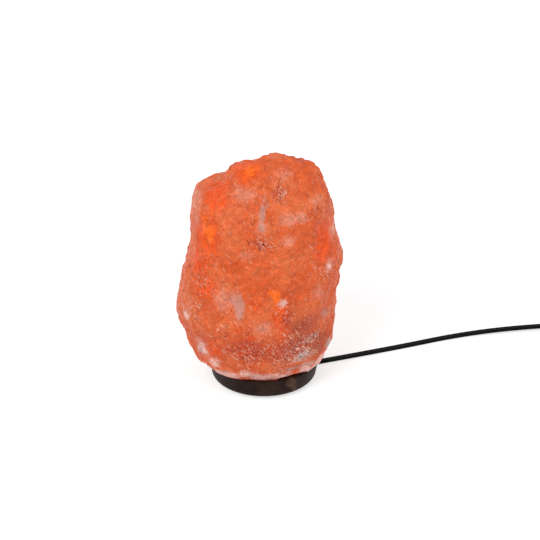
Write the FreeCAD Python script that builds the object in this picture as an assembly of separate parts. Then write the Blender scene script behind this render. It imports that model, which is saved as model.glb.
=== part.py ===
import FreeCAD, Part
import math
import os

# Salt crystal lamp: a block of rock salt on a turned wooden base, lit from inside by a small bulb whose
# holder grips the bore with three sprung arms. A flat twin cord leaves the base to the right, passes an
# in-line dimmer and is put away in a round coil with its plug. Millimetres, +Z up. The origin is on the
# floor, on the axis of the base. The front of the lamp faces -Y.

V = FreeCAD.Vector
UP = V(0, 0, 1)

# Clearances
TOUCH_GAP = 0.3          # between curved pieces that lie against each other
FIT_GAP = 0.1            # between a piece and the hole that it sits in
RUN_GAP = 0.05           # radial, round a turning shaft

# Felt ring
FELT_T = 2.0
FELT_INNER_R = 35.6
FELT_OUTER_R = 40.6

# Wooden base
BASE_H = 17.0
BASE_TOP_R = 49.0
BASE_BOTTOM_R = 46.2
BASE_HOLE_R = 26.0
BASE_TOP_ROUND = 1.0
BASE_BOTTOM_ROUND = 4.6
BASE_HOLE_ROUND = 0.6
BASE_TOP = FELT_T + BASE_H

# Crystal: height over the base, then the left, right, front and back reach of each section
CRYSTAL_SECTIONS = [
    (0.0, -53.5, 55.5, -46.5, 49.0),
    (8.0, -61.5, 59.5, -51.5, 54.0),
    (22.0, -67.5, 61.0, -56.0, 57.0),
    (37.0, -71.5, 62.5, -58.5, 59.5),
    (52.0, -77.5, 63.0, -60.0, 60.5),
    (66.0, -74.0, 64.0, -60.5, 61.0),
    (82.0, -71.5, 65.5, -60.5, 60.5),
    (97.0, -68.0, 69.0, -60.0, 59.0),
    (112.0, -64.0, 66.0, -58.5, 57.0),
    (128.0, -63.0, 61.5, -56.0, 55.0),
    (143.0, -62.0, 60.0, -53.5, 51.0),
    (157.0, -60.0, 58.5, -49.5, 44.0),
    (166.0, -54.5, 57.0, -43.0, 33.0),
    (174.0, -35.0, 53.5, -34.0, 28.0),
    (181.5, -30.5, 52.0, -24.0, 24.0),
    (185.5, -18.0, 45.0, -17.0, 19.0),
    (189.0, -4.0, 30.0, -11.0, 14.0),
    (193.0, 5.0, 27.0, -4.0, 10.0),
]
CRYSTAL_POINTS = 16      # round each section
CRYSTAL_FULLNESS = 2.2   # 2 is an ellipse, more is squarer
CRYSTAL_LEFT_FULLER = 0.3
CRYSTAL_LUMP = 0.045     # share of the radius that the lumps stand in and out
CRYSTAL_LUMP_PITCH = 21.0
# Flats as the block was hewn: each one's azimuth and rise, and how far inside the block's furthest point it lies
CRYSTAL_FLATS = [
    (-94.0, 4.0, 3.0),
    (-128.0, 9.0, 2.5),
    (-158.0, 2.0, 2.5),
    (-58.0, 5.0, 3.0),
    (-26.0, -3.0, 2.5),
    (-112.0, 34.0, 3.5),
    (-150.0, 40.0, 2.0),
    (-74.0, 38.0, 3.0),
    (-34.0, 36.0, 2.5),
    (-100.0, -16.0, 2.0),
    (-62.0, -20.0, 3.0),
    (-140.0, -18.0, 3.0),
    (-12.0, -22.0, 2.0),
    (6.0, 14.0, 2.0),
    (34.0, 3.0, 4.5),
    (66.0, -9.0, 4.5),
    (92.0, 7.0, 5.0),
    (124.0, -4.0, 4.5),
    (154.0, 8.0, 3.5),
    (176.0, -20.0, 2.5),
    (44.0, 33.0, 4.5),
    (88.0, 36.0, 4.0),
    (126.0, 36.0, 3.0),
    (24.0, -24.0, 3.5),
    (80.0, -27.0, 4.0),
    (120.0, -26.0, 4.0),
    (10.0, 58.0, 1.5),
    (-100.0, 62.0, 1.5),
    (150.0, 60.0, 1.5),
    (0.0, 90.0, 1.0),
]
BORE_R = 23.0
BORE_DEPTH = 105.0
BORE_ROUND = 6.0

# Screws that hold the base to the crystal
SCREW_RING_R = 31.3
SCREW_COUNT = 3
SCREW_AZIMUTH = 83.0     # of the first, clear of the cord's groove
SCREW_R = 1.9
SCREW_HEAD_R = 3.8
SCREW_HEAD_H = 2.4
SCREW_LENGTH = 32.0
SCREW_SLOT_W = 1.0
SCREW_SLOT_DEPTH = 1.2
ANCHOR_R = 3.8
ANCHOR_LENGTH = 24.0

# Flat twin cord
CORD_W = 6.0
CORD_T = 3.2
CORD_AZIMUTH = 19.5      # where it leaves the base
CORD_Z = CORD_T / 2      # it lies flat on the floor
CORD_BEND_R = 24.0       # up through the base into the holder
GROOVE_W = 8.0
GROOVE_H = 2.0           # over the underside of the wood, so that cord and felt share the rest
CORE_R = 0.7
CORE_SPREAD = 1.5

# Bulb holder, from the cap upwards
CAP_Z = 26.0
CAP_H = 6.0
CAP_FLOOR = 2.0
HOLDER_R = 10.5
HOLDER_ROUND = 0.5
CORD_IN_CAP = 1.5        # how far the cord stands up inside the cap
HOUSING_H = 29.0
HOUSING_FLOOR = 4.0
HOUSING_BORE_R = 8.3
HOUSING_RIM_R = 11.6
HOUSING_RIM_H = 3.0
TERMINAL_W = 3.0
TERMINAL_T = 0.6
TERMINAL_R = 4.6
TERMINAL_DROP = 3.4
HOLDER_SCREW_R = 1.2
HOLDER_SCREW_HEAD_R = 2.0
HOLDER_SCREW_HEAD_H = 1.4
HOLDER_SCREW_RING_R = 7.6
HOLDER_SCREW_LENGTH = 8.0
CONTACT_R = 2.4

# Spring bracket: a plate under the housing and three arms bowed out against the bore
PLATE_R = 12.5
PLATE_T = 0.6
PLATE_HOLE_R = 6.0
ARM_COUNT = 3
ARM_AZIMUTH = 83.0
ARM_W = 7.0
ARM_T = 0.6
ARM_BOW_Z = 56.0         # where the arms press on the bore
ARM_TOP_Z = 72.0
ARM_TOP_IN = 3.0         # how far the tips turn back from the bore
ARM_ROOT_R = 17.0

# Bulb, small candle shape with a 12 mm screw cap
BULB_FOOT_Z = 41.4
BULB_FOOT_R = 2.2
BULB_FOOT_H = 1.2
INSULATOR_H = 2.2
INSULATOR_R = 4.4
THREAD_CREST_R = 5.9
THREAD_ROOT_R = 5.3
THREAD_PITCH = 2.54
THREAD_RIDGES = 4
THREAD_SHEET = 0.3
THREAD_GAP = 0.35
SOCKET_SHEET = 0.4
GLASS_R = 11.0
GLASS_WALL = 0.8
GLASS_NECK_R = 5.0
GLASS_LENGTH = 40.0
STEM_R = 2.6
STEM_H = 12.0
LEAD_R = 0.3
LEAD_H = 26.0
LEAD_SPREAD = 4.0
FILAMENT_R = 0.35

# Dimmer, seen along the cord: strain relief, body, strain relief
DIMMER_L = 60.0
DIMMER_W = 30.0
DIMMER_H = 16.0
DIMMER_WALL = 1.8
DIMMER_CORNER_R = 13.0
DIMMER_EDGE_ROUND = 2.0
DIMMER_AXIS_Z = 3.9      # height of the cord where it enters, and of the seam between the shells
DIAL_R = 12.0
DIAL_H = 5.0
DIAL_SUNK = 1.2
DIAL_WELL_GAP = 0.4
DIAL_RIBS = 20
DIAL_RIB_R = 0.7
DIAL_SHAFT_R = 3.0
DIAL_MARK_W = 1.2
DIAL_MARK_L = 6.0
POT_SIDE = 16.0
POT_H = 4.6
BOARD_L = 34.0
BOARD_W = 20.0
BOARD_T = 1.6
CASE_SCREW_IN = 9.0      # from each end of the case
CASE_SCREW_R = 1.3
CASE_SCREW_HEAD_R = 2.4
CASE_SCREW_HEAD_H = 1.4
CASE_SCREW_LENGTH = 9.0
CASE_BOSS_R = 2.8
RELIEF_L = 20.0
RELIEF_TIP_W = 8.6
RELIEF_TIP_H = 5.4
RELIEF_ROOT_W = 12.0
RELIEF_ROOT_H = 7.2
RELIEF_FLANGE_W = 14.0
RELIEF_FLANGE_T = 1.6
RELIEF_NECK_W = 9.0
RELIEF_NECK_H = 4.0

# Coil: two layers of turns on edge, spiralling in below and out above
COIL_OUTER_R = 38.0
COIL_GAP = 0.65
COIL_HALF_TURNS_IN = 6
COIL_HALF_TURNS_OUT = 5
COIL_END_RUN = 20.0
TIE_W = 4.0
TIE_T = 0.6
TIE_ROUND = 1.2

# Plug with two flat blades
PLUG_L = 25.0
PLUG_FRONT_W = 17.0
PLUG_BACK_W = 13.0
PLUG_ROUND = 3.0
PLUG_GRIP_R = 26.0
PLUG_GRIP_DEPTH = 1.6
PLUG_RELIEF_L = 24.0
PLUG_RELIEF_TIP_W = 6.4
PLUG_RELIEF_TIP_H = 9.0
PLUG_RELIEF_ROOT_W = 9.0
PLUG_RELIEF_ROOT_H = 12.5
RELIEF_RIBS = 4
RELIEF_RIB_W = 1.6
RELIEF_RIB_DEPTH = 0.8
BLADE_SPACING = 12.7
BLADE_W = 6.35
BLADE_T = 1.5
BLADE_LENGTH = 16.0
BLADE_SUNK = 8.0
BLADE_HOLE_R = 1.5


def polar(radius, degrees, z=0.0):
    a = math.radians(degrees)
    return V(radius * math.cos(a), radius * math.sin(a), z)


def turned_up(azimuth, rise):
    """The direction at an azimuth that rises by an angle over the horizontal."""
    a = math.radians(rise)
    return polar(math.cos(a), azimuth, math.sin(a))


def unit(v):
    return V(v).normalize()


def turned(shape, degrees):
    """The shape turned about the Z axis."""
    copy = shape.copy()
    copy.rotate(V(0, 0, 0), UP, degrees)
    return copy


def placed(shape, at, degrees):
    """The shape, drawn along +X from the origin, put at a point with that heading."""
    copy = turned(shape, degrees)
    copy.translate(at)
    return copy


def rounded_wire(points, radii, closed=True):
    """Straight runs through the points, joined by tangent arcs of the given radii, where 0 stays sharp."""
    count = len(points)
    corners = []
    for i, point in enumerate(points):
        at_end = not closed and i in (0, count - 1)
        if at_end or radii[i] == 0:
            corners.append((point, None, point))
            continue
        back = unit(points[i - 1] - point)
        ahead = unit(points[(i + 1) % count] - point)
        half = back.getAngle(ahead) / 2
        middle = unit(back + ahead)
        tangent = radii[i] / math.tan(half)
        top = point + middle * (radii[i] / math.sin(half) - radii[i])
        corners.append((point + back * tangent, top, point + ahead * tangent))
    edges = []
    for i, (start, top, end) in enumerate(corners):
        if top is not None:
            edges.append(Part.Arc(start, top, end).toShape())
        if closed or i < count - 1:
            following = corners[(i + 1) % count][0]
            if end.distanceToPoint(following) > 1e-6:
                edges.append(Part.LineSegment(end, following).toShape())
    return Part.Wire(edges)


def turning(outline):
    """A solid turned about Z from an outline of (radius, height, corner radius)."""
    points = [V(r, 0, z) for r, z, _ in outline]
    wire = rounded_wire(points, [corner for _, _, corner in outline])
    return Part.Face(wire).revolve(V(0, 0, 0), UP, 360)


def ring(inner, outer, low, high):
    return turning([(inner, low, 0), (outer, low, 0), (outer, high, 0), (inner, high, 0)])


def cylinder(radius, low, high, x=0.0, y=0.0):
    return Part.makeCylinder(radius, high - low, V(x, y, low))


def block(length, width, low, high, x=0.0, y=0.0):
    """A box centred on (x, y), from one height to another."""
    return Part.makeBox(length, width, high - low, V(x - length / 2, y - width / 2, low))


def rounded_rectangle(length, width, corner, z=0.0):
    half_l = length / 2
    half_w = width / 2
    points = [V(-half_l, -half_w, z), V(half_l, -half_w, z), V(half_l, half_w, z), V(-half_l, half_w, z)]
    return rounded_wire(points, [corner] * 4)


def plate(length, width, corner, low, high):
    return Part.Face(rounded_rectangle(length, width, corner, low)).extrude(UP * (high - low))


def upright_rectangle(x, width, height, corner, z=0.0):
    """A rounded rectangle across the X axis."""
    half_w = width / 2
    half_h = height / 2
    points = [V(x, -half_w, z - half_h), V(x, half_w, z - half_h), V(x, half_w, z + half_h), V(x, -half_w, z + half_h)]
    return rounded_wire(points, [corner] * 4)


def cord_section(at, direction, across):
    """The outline of the flat cord, a stadium, with its width along across."""
    reach = unit(across) * (CORD_W / 2 - CORD_T / 2)
    round_way = unit(across) * (CORD_T / 2)
    side = unit(direction.cross(across)) * (CORD_T / 2)
    a = at - reach - side
    b = at + reach - side
    c = at + reach + side
    d = at - reach + side
    edges = [
        Part.LineSegment(a, b).toShape(),
        Part.Arc(b, at + reach + round_way, c).toShape(),
        Part.LineSegment(c, d).toShape(),
        Part.Arc(d, at - reach - round_way, a).toShape(),
    ]
    return Part.Wire(edges)


SECTION_AREA = (CORD_W - CORD_T) * CORD_T + math.pi * (CORD_T / 2) ** 2


def cord_radii(name, points):
    """Each bend of a cord takes 0.45 of its shorter run on either side."""
    radii = [0.0]
    for before, point, after in zip(points, points[1:], points[2:]):
        run = min((point - before).Length, (after - point).Length)
        turn = (point - before).getAngle(after - point)
        radii.append(0.45 * run / math.tan(turn / 2))
    radii.append(0.0)
    print(name, "bend radii", [round(r, 1) for r in radii[1:-1]])
    return radii


def swept(name, path, across):
    """The flat cord along a path, with its width starting along across."""
    start = path.OrderedEdges[0]
    first = start.FirstParameter if start.Orientation == "Forward" else start.LastParameter
    direction = start.tangentAt(first)
    if start.Orientation == "Reversed":
        direction = direction * -1
    solid = path.makePipeShell([cord_section(start.valueAt(first), direction, across)], True, False)
    print(name, "length", round(path.Length, 1), "volume over section times length",
          round(solid.Volume / (SECTION_AREA * path.Length), 4), "valid", solid.isValid())
    return solid


def save(name, shape):
    shape.exportStep("parts/" + name + ".step")
    box = shape.BoundBox
    print(name, "solids", len(shape.Solids), "valid", shape.isValid(), "volume", round(shape.Volume, 1),
          "box", [round(v, 1) for v in (box.XMin, box.YMin, box.ZMin, box.XMax, box.YMax, box.ZMax)])


# The lamp itself

def screw_places():
    return [polar(SCREW_RING_R, SCREW_AZIMUTH + 360.0 * k / SCREW_COUNT) for k in range(SCREW_COUNT)]


def section_points(height, left, right, front, back):
    """The corners of a rounded, lumpy section. The lumps keep to the diagonals, so the four reaches stay as given."""
    centre_x = (left + right) / 2
    centre_y = (front + back) / 2
    half_x = (right - left) / 2
    half_y = (back - front) / 2
    points = []
    for k in range(CRYSTAL_POINTS):
        a = 2 * math.pi * k / CRYSTAL_POINTS
        full = CRYSTAL_FULLNESS - CRYSTAL_LEFT_FULLER * math.cos(a)
        reach = (abs(math.cos(a) / half_x) ** full + abs(math.sin(a) / half_y) ** full) ** (-1 / full)
        wave = math.sin(3 * a + height / CRYSTAL_LUMP_PITCH) + math.sin(5 * a - 2 * height / CRYSTAL_LUMP_PITCH)
        reach *= 1 + CRYSTAL_LUMP * math.sin(2 * a) ** 2 * wave / 2
        points.append(V(centre_x + reach * math.cos(a), centre_y + reach * math.sin(a), BASE_TOP + height))
    return points


def section_wire(points):
    curve = Part.BSplineCurve()
    curve.interpolate(Points=points, PeriodicFlag=True)
    return Part.Wire([curve.toShape()])


def hewn(rock, corners):
    """The rock cut back to each flat, which lies square to its own direction."""
    size = 2 * BASE_TOP + 2 * CRYSTAL_SECTIONS[-1][0]
    for azimuth, rise, depth in CRYSTAL_FLATS:
        way = turned_up(azimuth, rise)
        reach = max(corner.dot(way) for corner in corners) - depth
        rock = rock.cut(Part.makeCylinder(size, size, way * reach, way))
    return rock


def bore_solid():
    top = BASE_TOP + BORE_DEPTH
    return turning([(0, BASE_TOP - 1, 0), (BORE_R, BASE_TOP - 1, 0), (BORE_R, top, BORE_ROUND), (0, top, 0)])


def make_crystal():
    outlines = [section_points(*section) for section in CRYSTAL_SECTIONS]
    rock = Part.makeLoft([section_wire(outline) for outline in outlines], True, False)
    rock = hewn(rock, [corner for outline in outlines for corner in outline])
    rock = rock.cut(bore_solid())
    for place in screw_places():
        top = BASE_TOP + ANCHOR_LENGTH + FIT_GAP
        rock = rock.cut(cylinder(ANCHOR_R + FIT_GAP, BASE_TOP - 1, top, place.x, place.y))
    return rock


def make_base():
    wood = turning([
        (BASE_HOLE_R, FELT_T, BASE_HOLE_ROUND),
        (BASE_BOTTOM_R, FELT_T, BASE_BOTTOM_ROUND),
        (BASE_TOP_R, BASE_TOP, BASE_TOP_ROUND),
        (BASE_HOLE_R, BASE_TOP, BASE_HOLE_ROUND),
    ])
    groove = block(BASE_TOP_R, GROOVE_W, FELT_T - 1, FELT_T + GROOVE_H, BASE_HOLE_R + BASE_TOP_R / 2 - 3)
    wood = wood.cut(turned(groove, CORD_AZIMUTH))
    for place in screw_places():
        hole = cylinder(SCREW_R + FIT_GAP, FELT_T - 1, BASE_TOP + 1, place.x, place.y)
        sink = Part.makeCone(SCREW_HEAD_R + FIT_GAP, SCREW_R + FIT_GAP, SCREW_HEAD_H, V(place.x, place.y, FELT_T))
        wood = wood.cut(hole).cut(sink)
    return wood


def make_felt():
    felt = ring(FELT_INNER_R, FELT_OUTER_R, 0, FELT_T)
    gap = block(BASE_TOP_R, GROOVE_W, -1, FELT_T + 1, FELT_INNER_R + BASE_TOP_R / 2 - 3)
    return felt.cut(turned(gap, CORD_AZIMUTH))


def wood_screw(place):
    head = Part.makeCone(SCREW_HEAD_R, SCREW_R, SCREW_HEAD_H, place + UP * FELT_T)
    shank = cylinder(SCREW_R, FELT_T, FELT_T + SCREW_LENGTH - SCREW_R, place.x, place.y)
    tip = Part.makeCone(SCREW_R, 0.3, SCREW_R, place + UP * (FELT_T + SCREW_LENGTH - SCREW_R))
    screw = head.fuse([shank, tip]).removeSplitter()
    for length, width in ((2 * SCREW_R, SCREW_SLOT_W), (SCREW_SLOT_W, 2 * SCREW_R)):
        screw = screw.cut(block(length, width, FELT_T - 1, FELT_T + SCREW_SLOT_DEPTH, place.x, place.y))
    return screw


def anchor(place):
    body = cylinder(ANCHOR_R, BASE_TOP, BASE_TOP + ANCHOR_LENGTH, place.x, place.y)
    return body.cut(cylinder(SCREW_R + FIT_GAP, BASE_TOP - 1, FELT_T + SCREW_LENGTH + 1, place.x, place.y))


# The bulb holder

PLATE_Z = CAP_Z + CAP_H
HOUSING_Z = PLATE_Z + PLATE_T
HOUSING_TOP = HOUSING_Z + HOUSING_H


def holder_screw_places():
    return [polar(HOLDER_SCREW_RING_R, SCREW_AZIMUTH + 30.0 + 180.0 * k) for k in range(2)]


def strip(points, radii, thickness):
    """The outline of a bent strip, drawn about its middle line in the XZ plane."""
    left = []
    right = []
    for i, point in enumerate(points):
        before = unit(point - points[max(i - 1, 0)]) if i > 0 else unit(points[1] - point)
        after = unit(points[i + 1] - point) if i < len(points) - 1 else before
        middle = unit(before + after)
        normal = V(-middle.z, 0, middle.x)
        reach = thickness / 2 / math.cos(before.getAngle(after) / 2)
        bends_left = before.x * after.z - before.z * after.x > 0
        inner = radii[i] - thickness / 2 if radii[i] else 0
        outer = radii[i] + thickness / 2 if radii[i] else 0
        left.append((point + normal * reach, inner if bends_left else outer))
        right.append((point - normal * reach, outer if bends_left else inner))
    outline = left + right[::-1]
    return rounded_wire([p for p, _ in outline], [r for _, r in outline])


def arm_face_r():
    """How far out the flat face of an arm lies, so that its edges stay clear of the round bore."""
    return math.sqrt((BORE_R - TOUCH_GAP) ** 2 - (ARM_W / 2) ** 2)


def spring_arm():
    bow = arm_face_r() - ARM_T / 2
    middle_z = PLATE_Z + PLATE_T / 2
    points = [
        V(PLATE_R - 2, 0, middle_z),
        V(ARM_ROOT_R, 0, middle_z),
        V(bow, 0, ARM_BOW_Z - 8),
        V(bow, 0, ARM_BOW_Z + 6),
        V(bow - ARM_TOP_IN, 0, ARM_TOP_Z),
    ]
    outline = strip(points, [0, 2.5, 12.0, 12.0, 0], ARM_T)
    outline.translate(V(0, -ARM_W / 2, 0))
    return Part.Face(outline).extrude(V(0, ARM_W, 0))


def make_bracket():
    bracket = ring(PLATE_HOLE_R, PLATE_R, PLATE_Z, PLATE_Z + PLATE_T)
    arms = [turned(spring_arm(), ARM_AZIMUTH + 360.0 * k / ARM_COUNT) for k in range(ARM_COUNT)]
    bracket = bracket.fuse(arms).removeSplitter()
    for place in holder_screw_places():
        bracket = bracket.cut(cylinder(HOLDER_SCREW_R + FIT_GAP, PLATE_Z - 1, HOUSING_Z + 1, place.x, place.y))
    return bracket


def make_cap():
    cap = turning([(0, CAP_Z, 0), (HOLDER_R, CAP_Z, HOLDER_ROUND), (HOLDER_R, PLATE_Z, 0), (0, PLATE_Z, 0)])
    cap = cap.cut(cylinder(PLATE_HOLE_R, CAP_Z + CAP_FLOOR, PLATE_Z + 1))
    hole = cord_section(V(0, 0, CAP_Z - 1), UP, polar(1, CORD_AZIMUTH + 90))
    hole = Part.Face(hole.makeOffset2D(FIT_GAP)).extrude(UP * (CAP_FLOOR + 2))
    cap = cap.cut(hole)
    for place in holder_screw_places():
        shank = cylinder(HOLDER_SCREW_R + FIT_GAP, CAP_Z - 1, PLATE_Z + 1, place.x, place.y)
        head = cylinder(HOLDER_SCREW_HEAD_R + FIT_GAP, CAP_Z - 1, CAP_Z + HOLDER_SCREW_HEAD_H, place.x, place.y)
        cap = cap.cut(shank).cut(head)
    return cap


def make_housing():
    housing = turning([
        (0, HOUSING_Z, 0),
        (HOLDER_R, HOUSING_Z, 0),
        (HOLDER_R, HOUSING_TOP - HOUSING_RIM_H, 0),
        (HOUSING_RIM_R, HOUSING_TOP - HOUSING_RIM_H, HOLDER_ROUND),
        (HOUSING_RIM_R, HOUSING_TOP, HOLDER_ROUND),
        (HOUSING_BORE_R, HOUSING_TOP, 0),
        (HOUSING_BORE_R, HOUSING_Z + HOUSING_FLOOR, 0),
        (0, HOUSING_Z + HOUSING_FLOOR, 0),
    ])
    for place in holder_screw_places():
        top = CAP_Z + HOLDER_SCREW_HEAD_H + HOLDER_SCREW_LENGTH + FIT_GAP
        housing = housing.cut(cylinder(HOLDER_SCREW_R + FIT_GAP, HOUSING_Z - 1, top, place.x, place.y))
    for side in (-1, 1):
        slot = block(TERMINAL_T + 2 * FIT_GAP, TERMINAL_W + 2 * FIT_GAP, HOUSING_Z - 1,
                     HOUSING_Z + HOUSING_FLOOR + 1, side * TERMINAL_R)
        housing = housing.cut(turned(slot, CORD_AZIMUTH + 90))
    return housing


def holder_screw(place):
    low = CAP_Z
    head = cylinder(HOLDER_SCREW_HEAD_R, low, low + HOLDER_SCREW_HEAD_H, place.x, place.y)
    shank = cylinder(HOLDER_SCREW_R, low, low + HOLDER_SCREW_HEAD_H + HOLDER_SCREW_LENGTH, place.x, place.y)
    slot = block(4 * HOLDER_SCREW_HEAD_R, 0.6, low - 1, low + 0.6, place.x, place.y)
    return head.fuse(shank).removeSplitter().cut(slot)


def terminal(side):
    """A tab through the housing's floor, where a core wire ends."""
    low = PLATE_Z - TERMINAL_DROP
    tab = block(TERMINAL_T, TERMINAL_W, low, HOUSING_Z + HOUSING_FLOOR, side * TERMINAL_R)
    return turned(tab, CORD_AZIMUTH + 90)


CAP_LOW = BULB_FOOT_Z + BULB_FOOT_H + INSULATOR_H
CAP_HIGH = CAP_LOW + THREAD_PITCH * (THREAD_RIDGES + 0.25)


def thread_outline(crest, root, low):
    """The ridged line of a screw cap, as points up from its foot. Bulb and socket have their ridges at one height."""
    points = [(root, low)]
    for k in range(THREAD_RIDGES):
        middle = CAP_LOW + THREAD_PITCH * (k + 0.75)
        points += [(crest, middle), (root, middle + THREAD_PITCH / 2)]
    return points


def ridged_sheet(crest, root, low, sheet, foot_r):
    """A turned shell of thin sheet with the ridges of a lamp cap and a flat foot."""
    outer = thread_outline(crest + sheet / 2, root + sheet / 2, low)
    inner = thread_outline(crest - sheet / 2, root - sheet / 2, low + sheet)
    corner = THREAD_PITCH / 6
    profile = [(foot_r, low, 0)]
    profile += [(r, z, corner if 0 < i < len(outer) - 1 else 0) for i, (r, z) in enumerate(outer)]
    profile += [(r, z, corner if 0 < i < len(inner) - 1 else 0) for i, (r, z) in list(enumerate(inner))[::-1]]
    profile += [(foot_r, low + sheet, 0)]
    return turning(profile)


def make_socket_shell():
    shift = THREAD_SHEET / 2 + THREAD_GAP + SOCKET_SHEET / 2
    low = CAP_LOW - THREAD_GAP - SOCKET_SHEET
    shell = ridged_sheet(THREAD_CREST_R + shift, THREAD_ROOT_R + shift, low, SOCKET_SHEET, TERMINAL_R + 0.4)
    skirt = ring(TERMINAL_R + 0.4, TERMINAL_R + 0.4 + SOCKET_SHEET, HOUSING_Z + HOUSING_FLOOR, low + SOCKET_SHEET)
    return shell.fuse(skirt).removeSplitter()


def make_socket_contact():
    low = HOUSING_Z + HOUSING_FLOOR
    high = BULB_FOOT_Z - TOUCH_GAP
    return turning([(0, low, 0), (CONTACT_R, low, 0), (CONTACT_R, high, 0.8), (0, high, 0)])


# The bulb

def make_bulb_foot():
    low = BULB_FOOT_Z
    return turning([(0, low, 0), (BULB_FOOT_R, low, 0.6), (BULB_FOOT_R, low + BULB_FOOT_H, 0), (0, low + BULB_FOOT_H, 0)])


def make_insulator():
    low = BULB_FOOT_Z + BULB_FOOT_H
    return turning([(0, low, 0), (BULB_FOOT_R + 0.8, low, 0), (INSULATOR_R, CAP_LOW, 0), (0, CAP_LOW, 0)])


def make_bulb_shell():
    return ridged_sheet(THREAD_CREST_R, THREAD_ROOT_R, CAP_LOW, THREAD_SHEET, BULB_FOOT_R)


def glass_line(inset):
    """Half the candle shape, as (radius, height) up from the neck to the tip."""
    low = CAP_HIGH - 2.0
    shape = [(0.0, 1.0), (0.16, 1.06), (0.34, 1.62), (0.52, 2.14), (0.66, 2.14), (0.82, 1.62), (0.94, 0.86)]
    scale = (GLASS_R - GLASS_NECK_R) / 1.2
    points = [V(GLASS_NECK_R + scale * (r - 1.0) - inset, 0, low + h * GLASS_LENGTH) for h, r in shape]
    return points + [V(0, 0, low + GLASS_LENGTH - inset)]


def make_glass():
    """A blown shell, open at the neck, where the cap's cement holds it."""
    def half(inset):
        curve = Part.BSplineCurve()
        curve.interpolate(Points=glass_line(inset), InitialTangent=V(0, 0, 1), FinalTangent=V(-1, 0, 0))
        return curve.toShape()
    outer = half(0.0)
    inner = half(GLASS_WALL)
    low = glass_line(0.0)[0]
    inner_low = glass_line(GLASS_WALL)[0]
    top = glass_line(0.0)[-1]
    inner_top = glass_line(GLASS_WALL)[-1]
    neck = Part.LineSegment(low, inner_low).toShape()
    axis = Part.LineSegment(top, inner_top).toShape()
    return Part.Face(Part.Wire([neck, outer, axis, inner])).revolve(V(0, 0, 0), UP, 360)


def make_stem():
    low = CAP_HIGH - 2.0
    return turning([
        (0, low, 0), (GLASS_NECK_R - GLASS_WALL - FIT_GAP, low, 0), (STEM_R, low + 3.0, 0),
        (STEM_R - 1.0, low + STEM_H, 0.6), (0, low + STEM_H, 0),
    ])


def make_leads():
    """Two wires that stand on the stem and spread to the filament. Their feet lean, so they start a wire's radius up."""
    low = CAP_HIGH - 2.0 + STEM_H + LEAD_R
    wires = []
    for side in (-1, 1):
        foot = V(side * 0.9, 0, low)
        tip = V(side * LEAD_SPREAD, 0, CAP_HIGH - 2.0 + LEAD_H)
        wires.append(Part.makeCylinder(LEAD_R, (tip - foot).Length, foot, tip - foot))
    return Part.makeCompound(wires)


def make_filament():
    """A wire bent over in three flat arcs between the tips of the leads."""
    top = CAP_HIGH - 2.0 + LEAD_H + LEAD_R + FILAMENT_R
    edges = []
    span = 2 * LEAD_SPREAD / 3
    for k in range(3):
        x = -LEAD_SPREAD + k * span
        sign = 1 if k % 2 == 0 else -1
        edges.append(Part.Arc(V(x, 0, top), V(x + span / 2, sign * span / 2, top), V(x + span, 0, top)).toShape())
    path = Part.Wire(edges)
    section = Part.Wire([Part.Circle(V(-LEAD_SPREAD, 0, top), V(0, 1, 0), FILAMENT_R).toShape()])
    return path.makePipeShell([section], True, False)


# The cord, with the places that it runs to

CORD_EXIT = polar(BASE_TOP_R, CORD_AZIMUTH, CORD_Z)
CORD_ROUTE = [
    CORD_EXIT,
    polar(BASE_TOP_R + 76.0, CORD_AZIMUTH, CORD_Z),
    V(182.4, 68.1, CORD_Z),
    V(241.5, 78.5, DIMMER_AXIS_Z),
    V(281.3, 82.7, DIMMER_AXIS_Z),
]
DIMMER_AT = CORD_ROUTE[-1]
DIMMER_WAY = unit(CORD_ROUTE[-1] - CORD_ROUTE[-2])
HEADING = math.degrees(math.atan2(DIMMER_WAY.y, DIMMER_WAY.x))
DIMMER_TOTAL = DIMMER_L + 2 * RELIEF_L

# Along the dimmer's axis from the tip of its inlet: the lead that ends where the coil starts
LEAD_TWIST_L = 30.0
LEAD_ROUTE = [
    V(DIMMER_TOTAL, 0, 0),
    V(DIMMER_TOTAL + 55.0, 0, 0),
    V(DIMMER_TOTAL + 90.4, -42.1, 0),
    V(DIMMER_TOTAL + 90.4, -92.1, 0),
]
COIL_START = LEAD_ROUTE[-1]
COIL_CENTRE = COIL_START - V(COIL_OUTER_R, 0, 0)
COIL_PITCH = CORD_T + COIL_GAP
LAYER_STEP = CORD_W + COIL_GAP


def make_inner_cord():
    """From the socket cap down, round the bend and out through the groove, in one upright plane."""
    out = polar(1, CORD_AZIMUTH)
    top = V(0, 0, CAP_Z + CAP_FLOOR + CORD_IN_CAP)
    corner = V(0, 0, CORD_Z)
    path = rounded_wire([top, corner, CORD_EXIT], [0, CORD_BEND_R, 0], False)
    return swept("cord_inner", path, out.cross(UP))


def core_wire(side):
    """A bared core from the end of the cord to its tab."""
    across = polar(1, CORD_AZIMUTH + 90)
    foot = across * (side * CORE_SPREAD) + UP * (CAP_Z + CAP_FLOOR + CORD_IN_CAP)
    tip = across * (side * (TERMINAL_R - TERMINAL_T / 2 - CORE_R)) + UP * PLATE_Z
    bend = across * (side * CORE_SPREAD) + UP * (CAP_Z + CAP_FLOOR + CORD_IN_CAP + CORE_R)
    wire = Part.makeCylinder(CORE_R, (tip - bend).Length, bend, tip - bend)
    stub = Part.makeCylinder(CORE_R, CORE_R, foot, UP)
    return stub.fuse([wire, Part.makeSphere(CORE_R, bend)]).removeSplitter()


def make_free_cord():
    path = rounded_wire(CORD_ROUTE, cord_radii("cord_to_dimmer", CORD_ROUTE), False)
    return swept("cord_to_dimmer", path, polar(1, CORD_AZIMUTH + 90))


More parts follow.
